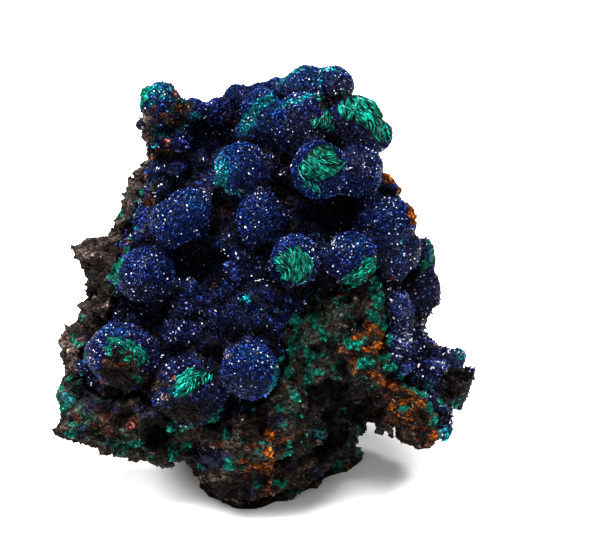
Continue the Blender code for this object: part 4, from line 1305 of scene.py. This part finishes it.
# Sheaves that lie straight on the azurite and the rock, with no tuft of their own.
LOOSE_SHEAVES = [
    ((-20.3, 21.7), 80, [(-22.6, 22.6), (-22.5, 24.2), (-21.9, 25.2), (-20.9, 25.1), (-20.0, 24.5),
                         (-18.8, 24.6), (-17.7, 24.1), (-16.5, 22.6), (-16.5, 21.4), (-17.5, 21.2),
                         (-18.3, 22.0), (-19.1, 23.2), (-20.3, 23.5), (-21.2, 24.2), (-21.9, 23.5),
                         (-22.2, 22.3)]),
    ((11.3, 52.5), 20, [(11.0, 53.6), (11.9, 53.8), (12.2, 52.9), (11.4, 52.6)]),
    ((16.4, 29.0), 10, [(15.6, 33.6), (16.4, 34.3), (17.2, 33.8), (17.3, 32.6), (16.8, 31.4), (15.6, 31.0),
                        (15.1, 31.8), (15.7, 32.6)]),
]
# How far off its ball a tuft reaches.
TUFT_MARGIN = 1.5


def sides(outline):
    """The two ends of each side of a closed outline."""
    corners = np.array(outline)
    return zip(corners, np.roll(corners, -1, axis=0))


def inside(uv, outline):
    """True for the places inside a closed outline."""
    held = np.zeros(len(uv), bool)
    for (u1, v1), (u2, v2) in sides(outline):
        between = (v1 > uv[:, 1]) != (v2 > uv[:, 1])
        crossing = (u2 - u1) * (uv[:, 1] - v1) / (v2 - v1 + TINY) + u1
        held ^= between & (uv[:, 0] < crossing)
    return held


def depth_inside(uv, outline):
    """How far each place lies inside an outline, in millimetres; negative outside."""
    nearest = np.full(len(uv), FAR)
    for start, end in sides(outline):
        edge = end - start
        along = np.clip(((uv - start) @ edge) / (edge @ edge), 0, 1)
        nearest = np.minimum(nearest, np.linalg.norm(uv - start - along[:, None] * edge, axis=1))
    return np.where(inside(uv, outline), nearest, -nearest)


def under_tuft(places):
    """1 where a malachite tuft covers a ball."""
    hidden = np.zeros(len(places))
    uv = seen_square_on(places)
    for name, sheaves in SHEAVES.items():
        near = close_to_ball(places, name, TUFT_MARGIN)
        for _, _, outline in sheaves:
            hidden[near] = np.maximum(hidden[near], inside(uv[near], outline))
    return hidden


print("tufts:", sorted(SHEAVES))

# %% [markdown]
# ## The crystals of the druse
# The balls are covered by a velvet of crystal tips, so small that each is only a three-sided point. In the
# hollows between the balls the crystals had room, and grew into blades two or three times as long. Both
# are drawn from the same places, with the size set by how near the place is to a ball.

# %% Azurite crystals
# How many tips each of their pieces has, the range of their sizes, the share of a tip that stands in the
# surface, its height and width, and how far it leans.
TIPS = 37000
TIP_PIECES = 2
TIP_RANGE = (0.6, 1.4)
TIP_ROOT = 0.4
TIP_HEIGHT = {"hollow": 0.46, "ball": 0.24}
TIP_WIDTH = 0.155
TIP_LEAN = 0.4
BLADES = 11000
# A blade's length, its width and thickness as shares of that, and how far it leans.
BLADE_SHAPE = (0.62, 0.30, 0.13, 0.5)
# The share of tips and of blades that get a painted glint, how brightness differs from crystal to crystal as
# painted reflection, and how much the crust's relief paints shade on them.
GLINTS = {"tips": 0.095, "blades": 0.020}
CRYSTAL_SPREAD = 1.3
RELIEF_SHADE = 1.25
# A needle's points and triangles, and the turns of its three corners.
NEEDLE_POINTS = 4
NEEDLE_FACES = ((0, 2, 1), (0, 1, 3), (1, 2, 3), (2, 0, 3))
THIRDS = [2 * math.pi * corner / 3 for corner in range(3)]


def needles(feet, ends, wide, rng):
    """Three-sided needles from feet to ends, as closed four-faced solids."""
    side, front = any_side(unit(ends - feet), rng)
    corners = [feet + wide[:, None] * (side * math.cos(turn) + front * math.sin(turn)) for turn in THIRDS]
    points = np.stack(corners + [ends], axis=1).reshape(-1, 3)
    return points, repeated(NEEDLE_FACES, len(feet), NEEDLE_POINTS)


def tips(spots, normals, height, width, lean, rng):
    """Three-sided points, one at each spot, with their feet a little inside the surface."""
    axis = unit(normals + lean * rng.normal(size=normals.shape))
    size = rng.uniform(*TIP_RANGE, len(spots))
    tall = (height * size * MM)[:, None]
    feet, ends = spots - axis * tall * TIP_ROOT, spots + axis * tall * (1 - TIP_ROOT)
    return needles(feet, ends, width * size * MM, rng)


def druse_spots(count, rng, keep):
    """Places on the open druse for count crystals; keep says how likely each place holds one."""
    spots, normals = scatter(azurite, count * 4, rng)
    places = to_face(spots)
    clear = 1 - np.maximum(cover(places, "ochre"), under_tuft(places))
    wanted = rng.random(len(spots)) < keep(places) * clear
    spots, normals = spots[wanted], normals[wanted]
    free = open_to_air(spots, normals, rock_tree)
    return spots[free][:count], normals[free][:count]


def crystal_tints(spots, normals, glints, rng):
    """The colour of each crystal: painted glints on a few, mostly on the upper sides, and painted shade on
    shut-in ones.
    """
    open_share = openness(spots, normals, rng)
    places = to_face(spots)
    tints = azurite_tints(places, CRYSTAL_SPREAD, rng)
    tints = with_painted_shade(tints, RELIEF_SHADE * druse_relief(places), open_share)
    facing_up = smooth_step(normals @ UPWARD, -0.4, 0.7)
    share = glints * (0.60 + 0.4 * facing_up) * open_share
    share *= (1 - 0.7 * cover(places, "shade")) * np.exp(1.3 * noise(places, 2.6, 104))
    share *= 1 + 1.6 * cover(places, "lilac") - 0.9 * cover(places, "bare")
    # A few crystals get a painted glint, more of them on upward faces.
    bright = rng.random(len(tints)) < share
    strength = (rng.random(bright.sum()) ** 1.8 + 0.05) * (1.2 - 0.4 * facing_up[bright])
    tints[bright] = GLINT * strength[:, None]
    return tints


def make_tips(name, seed):
    """A mesh of crystal points."""
    rng = np.random.default_rng(seed)
    spots, normals = druse_spots(TIPS, rng, lambda places: 0.75 + 0.25 * on_ball(places))
    tints = crystal_tints(spots, normals, GLINTS["tips"], rng)
    ball = on_ball(to_face(spots))
    height = TIP_HEIGHT["hollow"] + (TIP_HEIGHT["ball"] - TIP_HEIGHT["hollow"]) * ball
    points, triangles = tips(spots, normals, height, TIP_WIDTH, TIP_LEAN, rng)
    return put_mesh(name, points, triangles, np.repeat(tints, NEEDLE_POINTS, axis=0))


def make_blades(name, seed):
    """A mesh of chisel-tipped crystals for the hollows between the balls."""
    rng = np.random.default_rng(seed)
    spots, normals = druse_spots(BLADES, rng, lambda places: 1.0 - 0.9 * on_ball(places))
    tints = crystal_tints(spots, normals, GLINTS["blades"], rng)
    points, triangles = blades(spots, normals, *BLADE_SHAPE, rng)
    return put_mesh(name, points, triangles, np.repeat(tints, WEDGE_POINTS, axis=0))


crystal_pieces = [make_tips(f"azurite_tips_{i}", 100 + i) for i in range(1, TIP_PIECES + 1)]
crystal_pieces.append(make_blades("azurite_blades", 110))
for piece in crystal_pieces:
    show(piece, "azurite")

# %% [markdown]
# ## Grains of the rock
# Broken iron oxide sheds angular crumbs. They are the same closed wedges as the crystals, but stubby and
# turned every way, in browns from near black to tan, and orange or green inside the patches.

# %% Rock grains
CRUMBS = 4500
SPLINTERS = 18000
THREADS = 15000
# Shapes: a typical length and how much it differs, then width, and thickness where it has one, and lean.
CRUMB_SHAPE = (0.55, 0.35, 0.50, 0.30, 0.9)
SPLINTER_SHAPE = (0.42, 0.4, 0.15, 0.8)
THREAD_SHAPE = (0.38, 0.4, (0.05, 0.11), 0.5)
# The slivers run roughly at right angles to this direction, as the layers of the rock do.
THREAD_ACROSS = unit(to_world((0.5, 0.7, 0.2)) - to_world((0, 0, 0)))
THREAD_GAP = 0.04
GRAIN_SPREAD = 1.05
PALE_SHARE = {"crumbs": 0.03, "splinters": 0.03, "threads": 0.11}
GROUND_GAP = 0.7


def around(middle, spread, count, rng):
    """Sizes around a middle one."""
    return middle * np.exp(spread * rng.normal(size=count))


def grain_spots(count, rng):
    """Open places on the rock, clear of the ground."""
    spots, normals = scatter(rock, int(count * 2.2), rng)
    free = open_to_air(spots, normals, azurite_tree) & (spots[:, 2] > GROUND_GAP * MM)
    return spots[free][:count], normals[free][:count]


def grain_tints(spots, normals, pale_share, corners, rng):
    """The colour of each grain, a few of them pale, with painted shade, repeated for its corners."""
    open_share = openness(spots, normals, rng)
    tints = rock_tints(to_face(spots), GRAIN_SPREAD, rng)
    pale = rng.random(len(spots)) < pale_share
    tints[pale] = PALE * (0.3 + 1.5 * rng.random(pale.sum()) ** 2)[:, None]
    tints = with_painted_shade(tints, 0.4 * rock_relief(to_face(spots)), open_share)
    return np.repeat(tints, corners, axis=0)


def make_crumbs():
    """A mesh of larger crumbs on the rock."""
    rng = np.random.default_rng(200)
    spots, normals = grain_spots(CRUMBS, rng)
    middle, spread, width, thick, lean = CRUMB_SHAPE
    length = around(middle, spread, len(spots), rng)
    points, triangles = blades(spots, normals, length, width, thick, lean, rng)
    tints = grain_tints(spots, normals, PALE_SHARE["crumbs"], WEDGE_POINTS, rng)
    return put_mesh("rock_crumbs", points, triangles, tints)


def make_splinters():
    """A mesh of fine splinters on the rock."""
    rng = np.random.default_rng(210)
    spots, normals = grain_spots(SPLINTERS, rng)
    middle, spread, width, lean = SPLINTER_SHAPE
    length = around(middle, spread, len(spots), rng)
    points, triangles = tips(spots, normals, length, width, lean, rng)
    tints = grain_tints(spots, normals, PALE_SHARE["splinters"], NEEDLE_POINTS, rng)
    return put_mesh("rock_splinters", points, triangles, tints)


def on_rock(spots):
    """The nearest places of the rock's surface, a hair above it."""
    found = [rock_tree.find_nearest(Vector(spot)) for spot in spots]
    return np.array([place + facing * THREAD_GAP * MM for place, facing, _, _ in found])


def make_threads():
    """A mesh of long thin slivers that lie along the rock, as its layers do where they break."""
    rng = np.random.default_rng(220)
    spots, normals = grain_spots(THREADS, rng)
    middle, spread, width_range, lean = THREAD_SHAPE
    along = unit(np.cross(normals, THREAD_ACROSS + lean * rng.normal(size=normals.shape)))
    half = (around(middle, spread, len(spots), rng) * MM)[:, None]
    start, end = on_rock(spots - along * half), on_rock(spots + along * half)
    points, triangles = needles(start, end, rng.uniform(*width_range, len(spots)) * MM, rng)
    tints = grain_tints(spots, normals, PALE_SHARE["threads"], NEEDLE_POINTS, rng)
    return put_mesh("rock_threads", points, triangles, tints)


grain_pieces = [make_crumbs(), make_splinters(), make_threads()]
print("grains:", [piece.name for piece in grain_pieces])

# %% [markdown]
# ## Chips of ochre
# Ochre and rust crumble into low angular chips. They lie only where their mineral does, so the patches are
# asked twice: to weigh where chips are scattered, and to drop those that fell too near an edge.

# %% Ochre chips
OCHRE_CHIPS = 4500
CHIP_SIZE = 0.22
CHIP_SPREAD = 0.35
CHIP_LIMITS = (-2, 1.2)
CHIP_SHAPE = (1.5, 0.9, 0.35)
CHIP_COVER = 0.6
OCHRE_SPREAD = 0.6


def chips(mineral_names, count, rng):
    """Low angular chips in the patches of some minerals: their spots, how open these are, and a mesh."""
    spots, normals = [], []
    carriers = (rock, azurite)
    covers = [minerals(to_face(read_points(piece))) for piece in carriers]
    weights = [np.max([found[name] for name in mineral_names], axis=0) for found in covers]
    areas = [weight.sum() for weight in weights]
    for piece, weight, area in zip(carriers, weights, areas):
        some_spots, some_normals = scatter(piece, int(count * area / sum(areas)), rng, weight ** 2)
        found = minerals(to_face(some_spots))
        free = open_to_air(some_spots, some_normals, both_tree)
        free &= np.max([found[name] for name in mineral_names], axis=0) > CHIP_COVER
        spots.append(some_spots[free])
        normals.append(some_normals[free])
    spots, normals = np.vstack(spots), np.vstack(normals)
    size = CHIP_SIZE * np.exp(CHIP_SPREAD * np.clip(rng.normal(size=len(spots)), *CHIP_LIMITS))
    points, triangles = blades(spots, normals, size, *CHIP_SHAPE, rng)
    return spots, openness(spots, normals, rng), points, triangles


def chip_shade(spots, open_share):
    """How bright each chip is: painted darker as shade where it is shut in, and uneven over about a
    millimetre.
    """
    patchy = 0.9 * np.exp(0.7 * noise(to_face(spots), 1.1, 99))
    return ((0.25 + 0.75 * open_share) * patchy)[:, None]


def make_ochre():
    """A mesh of angular chips where the rock is orange or rusty."""
    rng = np.random.default_rng(230)
    spots, open_share, points, triangles = chips(("ochre", "rust"), OCHRE_CHIPS, rng)
    orange = minerals(to_face(spots))["ochre"] > 0.3
    ochre, rusty = (varied(colour, len(spots), OCHRE_SPREAD, rng) for colour in (ORANGE, RUSTY))
    tints = np.where(orange[:, None], ochre, rusty) * chip_shade(spots, open_share)
    return put_mesh("ochre_chips", points, triangles, np.repeat(tints, WEDGE_POINTS, axis=0))


grain_pieces.append(make_ochre())
for piece in grain_pieces:
    show(piece, "rock")

# %% [markdown]
# ## Malachite fibres
# Malachite grows in silky fibres, which lie over the balls like combed hair. Each fibre is a thin
# three-sided strand. Its path is followed on the flat plane that faces the viewer, inside an outline and
# around a centre, and every step is then dropped onto the surface behind it. So the strands lie on the real
# ball and not in the air.

# %% Fibres
# How densely strands stand, the steps of each, and the ranges of their length and radius.
STRANDS_PER_MM2 = 19
STRAND_STEPS = 5
STRAND_POINTS = 3 * STRAND_STEPS
STRAND_LENGTH = (0.6, 1.6)
STRAND_RADIUS = (0.045, 0.090)
# How far fibres lean in locks and one by one, in degrees, and how high they bow off the surface.
LOCK_LEAN = 34
STRAND_LEAN = 12
STRAND_BOW = 0.30
STRAND_GAP = 0.04
# A strand whose steps are longer than this has bridged a gap, so it is left out.
LONGEST_STEP = 1.2
TAPER_START = 0.25
PLANE_W = 8.0


def strand_faces():
    """The triangles of one three-sided strand."""
    faces = []
    for step in range(STRAND_STEPS - 1):
        for corner in range(3):
            a, b = step * 3 + corner, step * 3 + (corner + 1) % 3
            faces += [(a, b, b + 3), (a, b + 3, a + 3)]
    last = STRAND_POINTS - 3
    return faces + [(0, 2, 1), (last, last + 1, last + 2)]


def strands(paths, radius):
    """Three-sided strands along paths, an array of (strand, step, 3), thinning to a point at both ends."""
    along = unit(np.gradient(paths, axis=1))
    side = unit(np.cross(along, np.broadcast_to(OUTWARD, along.shape)))
    front = np.cross(side, along)
    swell = np.sin(np.linspace(TAPER_START, math.pi - TAPER_START, STRAND_STEPS))
    taper = swell[None, :, None] * radius[:, None, None]
    ring = [paths + (side * math.cos(turn) + front * math.sin(turn)) * taper for turn in THIRDS]
    points = np.stack(ring, axis=2).reshape(-1, 3)
    return points, repeated(strand_faces(), len(paths), STRAND_POINTS)


def on_plane(uv, w=0.0):
    """Places of the facing plane, at a height w over it."""
    return np.column_stack((uv, np.full(len(uv), w)))


def drop_on(uv, trees):
    """Where lines of sight through places of the facing plane meet the nearest of some surfaces."""
    eye = Vector(camera.location)
    found = np.full((len(uv), 3), np.nan)
    facing = np.tile(OUTWARD, (len(uv), 1))
    for i, target in enumerate(to_world(on_plane(uv, PLANE_W))):
        way = (Vector(target) - eye).normalized()
        hits = [hit for hit in (tree.ray_cast(eye, way) for tree in trees) if hit[0] is not None]
        if hits:
            best = min(hits, key=lambda hit: hit[3])
            found[i], facing[i] = best[0], best[1]
    return found, facing


def fibre_starts(outline, rng):
    """Random places inside an outline where fibres start, with gaps between the locks."""
    low, high = np.min(outline, axis=0), np.max(outline, axis=0)
    count = int(np.prod(high - low) * STRANDS_PER_MM2)
    start = rng.uniform(low, high, (count, 2))
    in_lock = 0.45 + 0.55 * smooth_step(noise(on_plane(start), 0.55, 107), -0.25, 0.15)
    return start[inside(start, outline) & (rng.random(count) < in_lock)]


def sheaf(centre, angle, outline, trees, rng):
    """The paths of one sheaf's fibres on the surfaces."""
    start = fibre_starts(outline, rng)
    count = len(start)
    room = min(1.0, 0.35 + 0.35 * depth_inside(start, outline).max())
    length = (rng.uniform(*STRAND_LENGTH, count) * room)[:, None]
    lean = LOCK_LEAN * noise(on_plane(start), 1.0, 94)
    turn = np.radians(angle + lean + rng.normal(0, STRAND_LEAN, count))
    spot, steps = start.copy(), []
    for _ in range(STRAND_STEPS):
        steps.append(spot.copy())
        away = unit(spot - centre)
        way = np.column_stack((away[:, 0] * np.cos(turn) - away[:, 1] * np.sin(turn),
                               away[:, 0] * np.sin(turn) + away[:, 1] * np.cos(turn)))
        spot = spot + way * length / (STRAND_STEPS - 1)
    flat = np.stack(steps, axis=1)
    flat = flat[inside(flat[:, -1] * 0.7 + flat[:, 0] * 0.3, outline)]
    points, facing = (found.reshape(-1, STRAND_STEPS, 3) for found in drop_on(flat.reshape(-1, 2), trees))
    bow = np.sin(np.linspace(0, math.pi, STRAND_STEPS))[None, :, None]
    lift = rng.uniform(0.0, STRAND_BOW, len(points))[:, None, None] * bow + STRAND_GAP
    step_length = np.linalg.norm(np.diff(points, axis=1), axis=2)
    whole = np.nanmax(np.where(np.isnan(step_length), FAR, step_length), axis=1) < LONGEST_STEP * MM
    return (points + facing * lift * MM)[whole]


print("each fibre has", STRAND_STEPS, "steps")

# %% [markdown]
# ## The tufts
# Each tuft has a low green dome under its strands, so no azurite shows between them. The dome is the plain
# solid's cap, made rough and sunk into its ball outside the outlines, and painted near-black as painted shade
# between the strands. Fibres grow in locks of uneven tone, and a few silky ones are painted pale, as a
# painted sheen. The other green patches get low chips, as the ochre does.

# %% Malachite tufts
# How bright each tuft is, against plain malachite.
TUFT_TONES = {"chief": 0.95, "disc": 0.85, "north_east": 1.05, "north": 0.9, "east": 1.3, "shell": 1.6}
LOOSE_TONE = 0.8
# The dome is painted this dark beside the strands, as painted shade between them.
DOME_SHADE = 0.05
DOME_VOXEL = 0.3
DOME_ROUNDS = 6
DOME_SINK = 0.5
STRAND_SPREAD = 1.2
SHEEN_SHARE = 0.07
GREEN_CHIPS = 8000
CHIP_TONE = 0.9
CHIP_TONE_SPREAD = 0.65


def trim_dome(dome, ball, sheaves):
    """Sinks the dome into its ball wherever it lies outside the outlines."""
    centre, radius = np.array(BALLS[ball][:3]), BALLS[ball][3]
    places = to_face(read_points(dome))
    uv = seen_square_on(places)
    depth = np.max([depth_inside(uv, outline) for _, _, outline in sheaves], axis=0)
    kept = smooth_step(depth, -0.3, 0.5)
    arm = places - centre
    reach = np.linalg.norm(arm, axis=1)
    sunk = radius - DOME_SINK
    wanted = np.where(reach > sunk, sunk + (reach - sunk) * kept, reach)
    wanted += 0.14 * kept * noise(places, 0.6, 97)
    write_points(dome, to_world(centre + arm * (wanted / reach)[:, None]))


def fibre_mesh(name, paths, tone, rng, dome=None):
    """A piece of strands in uneven locks, some with painted sheen, over any dome, painted dark as shade."""
    shapes = [strands(paths, rng.uniform(*STRAND_RADIUS, len(paths)) * MM)]
    lock = np.exp(1.1 * noise(to_face(paths[:, 0]), 0.5, 98))[:, None]
    colours = varied(GREEN * tone, len(paths), STRAND_SPREAD, rng) * lock
    # A few strands are painted pale green, as painted sheen.
    sheen_strands = rng.random(len(paths)) < SHEEN_SHARE
    colours[sheen_strands] = PALE_GREEN_SHEEN * rng.uniform(0.4, 1.0, sheen_strands.sum())[:, None]
    tints = [colours.repeat(STRAND_POINTS, axis=0)]
    if dome is not None:
        shapes.insert(0, (read_points(dome), read_triangles(dome)))
        tints.insert(0, np.tile(GREEN * DOME_SHADE * tone, (len(dome.data.vertices), 1)))
        bpy.data.objects.remove(dome)
    return put_mesh(name, *merged(shapes), np.vstack(tints))


def make_tuft(name, seed):
    """A malachite tuft: a rough green dome with combed strands over it."""
    rng = np.random.default_rng(seed)
    dome = copy_solid("malachite_" + name, "dome_" + name)
    refine(dome, DOME_VOXEL, DOME_ROUNDS)
    trim_dome(dome, name, SHEAVES[name])
    trees = [tree_of(dome), azurite_tree, rock_tree]
    paths = np.concatenate([sheaf(*spec, trees, rng) for spec in SHEAVES[name]])
    tuft = fibre_mesh("tuft_" + name, paths, TUFT_TONES[name], rng, dome)
    show(tuft, "malachite", "malachite_" + name)
    return tuft


def make_loose_fibres():
    """Fibres on the broken ball and in two more places, straight on the azurite and the rock."""
    rng = np.random.default_rng(350)
    paths = np.concatenate([sheaf(*spec, [azurite_tree, rock_tree], rng) for spec in LOOSE_SHEAVES])
    return fibre_mesh("malachite_fibres", paths, LOOSE_TONE, rng)


def make_green_chips():
    """Low angular chips in every other green patch."""
    rng = np.random.default_rng(360)
    spots, open_share, points, triangles = chips(("malachite",), GREEN_CHIPS, rng)
    tints = varied(GREEN * CHIP_TONE, len(spots), CHIP_TONE_SPREAD, rng) * chip_shade(spots, open_share)
    return put_mesh("malachite_chips", points, triangles, np.repeat(tints, WEDGE_POINTS, axis=0))


tufts = [make_tuft(name, 300 + i) for i, name in enumerate(SHEAVES)]
green_pieces = [make_loose_fibres(), make_green_chips()]
for piece in green_pieces:
    show(piece, "malachite")

# %% [markdown]
# ## Materials
# All pieces share one way of colouring: the tint at each point, varied by fine noise in the shader. The
# normal is tipped a little in each tiny cell of a Voronoi pattern, as if every grain had its own flat face,
# so glints come and go as the lamp or the viewer moves. The pieces differ in gloss: azurite faces are
# glossy, malachite is silky and the rock is dull. Pale wavy lines on the rock are the edges of its layers.

# %% Materials
# Each finish: its roughness and specular level; the sizes of its facets and of its speckle; how far a facet
# tips; how much brightness differs from facet to facet; and the size of its pale edges, if it has any.
FINISHES = {
    "azurite_blue": (0.22, 0.02, 0.25, 0.5, 1.2, 0.6, None),
    "azurite_faces": (0.12, 0.035, 0.22, 0.4, 0.8, 0.2, None),
    "iron_rock": (0.7, 0.03, 0.28, 0.6, 0.9, 0.5, 1.1),
    "malachite_silk": (0.5, 0.03, 0.25, 0.35, 0.3, 0.2, None),
}
# Brightness ranges of the speckle and of the pale edges, from the pattern's values to the shade's.
SPECKLE = {"From Min": 0.3, "From Max": 0.7, "To Min": 0.35, "To Max": 1.65}
SPECKLE_DETAIL = 3
EDGE = {"From Max": 0.14, "To Min": 2.4, "To Max": 0.62}
EDGE_WAVE = 1.3
EDGE_BEND = 1.6
# The rock's layers lie aslant, and their edges are drawn out along them.
LAYERS = {"Rotation": (0.4, 0.5, 0.0), "Scale": (0.8, 0.8, 1.9)}


def pale_edges(tree, place, size):
    """A brightness that is high on the wavy borders of cells, as on the edges of broken layers."""
    wave = add_node(tree, "TexNoise", {"Scale": 1 / (EDGE_WAVE * size * MM), "Vector": place})
    bend = {0: wave.outputs["Color"], 1: (EDGE_BEND * size * MM,) * 3, 2: place}
    bent = add_node(tree, "VectorMath", bend, operation="MULTIPLY_ADD")
    flat = add_node(tree, "Mapping", {**LAYERS, "Vector": bent.outputs["Vector"]})
    borders = {"Scale": 1 / (size * MM), "Vector": flat.outputs["Vector"]}
    cells = add_node(tree, "TexVoronoi", borders, feature="DISTANCE_TO_EDGE")
    return add_node(tree, "MapRange", {**EDGE, "Value": cells.outputs["Distance"]}).outputs["Result"]


def brightened(tree, colour, brightness):
    """A colour times a brightness."""
    node = add_node(tree, "VectorMath", {0: colour, "Scale": brightness}, operation="SCALE")
    return node.outputs["Vector"]


def tipped_normal(tree, random_colour, tip):
    """The surface's normal, tipped by a random colour."""
    facing = add_node(tree, "NewGeometry", {})
    centred = add_node(tree, "VectorMath", {0: random_colour, 1: (0.5, 0.5, 0.5)}, operation="SUBTRACT")
    tilt = {0: centred.outputs["Vector"], 1: (tip, tip, tip), 2: facing.outputs["Normal"]}
    tipped = add_node(tree, "VectorMath", tilt, operation="MULTIPLY_ADD")
    level = add_node(tree, "VectorMath", {0: tipped.outputs["Vector"]}, operation="NORMALIZE")
    return level.outputs["Vector"]


def tinted_material(name, roughness, specular, facet, grain, tip, spread, edges):
    """A material of the stored tint, with grain-sized changes of shade and of facing."""
    material, shader = new_material(name, roughness)
    tree = material.node_tree
    shader.inputs["Specular IOR Level"].default_value = specular
    tint = add_node(tree, "Attribute", {}, attribute_name="tint").outputs["Color"]
    place = add_node(tree, "TexCoord", {}).outputs["Object"]
    fine = {"Scale": 1 / (grain * MM), "Detail": SPECKLE_DETAIL, "Vector": place}
    speckle = add_node(tree, "TexNoise", fine).outputs["Fac"]
    shade = add_node(tree, "MapRange", {**SPECKLE, "Value": speckle})
    cells = add_node(tree, "TexVoronoi", {"Scale": 1 / (facet * MM), "Vector": place}).outputs["Color"]
    blue = add_node(tree, "SeparateColor", {"Color": cells}).outputs["Blue"]
    cell_shade = add_node(tree, "MapRange", {"To Min": 1 - spread, "To Max": 1 + spread, "Value": blue})
    colour = brightened(tree, tint, shade.outputs["Result"])
    colour = brightened(tree, colour, cell_shade.outputs["Result"])
    if edges:
        colour = brightened(tree, colour, pale_edges(tree, place, edges))
    tree.links.new(colour, shader.inputs["Base Color"])
    tree.links.new(tipped_normal(tree, cells, tip), shader.inputs["Normal"])
    return material


materials = {name: tinted_material(name, *finish) for name, finish in FINISHES.items()}
wearers = {
    "azurite_blue": [azurite],
    "azurite_faces": crystal_pieces,
    "iron_rock": [rock, *grain_pieces],
    "malachite_silk": [*tufts, *green_pieces],
}
for name, pieces in wearers.items():
    for piece in pieces:
        piece.data.materials.append(materials[name])
for piece in (rock, azurite):
    piece.data.shade_smooth()
print("materials:", sorted(materials))

# %% [markdown]
# ## Sizes
# The sizes of the plain solids and of the dressed pieces are both printed, in millimetres.

# %% Keep the sizes and finish
shown_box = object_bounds()
sizes = {"solids": [list(corner) for corner in solid_box], "shown": [list(corner) for corner in shown_box]}
for side, (low, high) in sizes.items():
    print(side, [round((b - a) / MM, 1) for a, b in zip(low, high)], "mm")
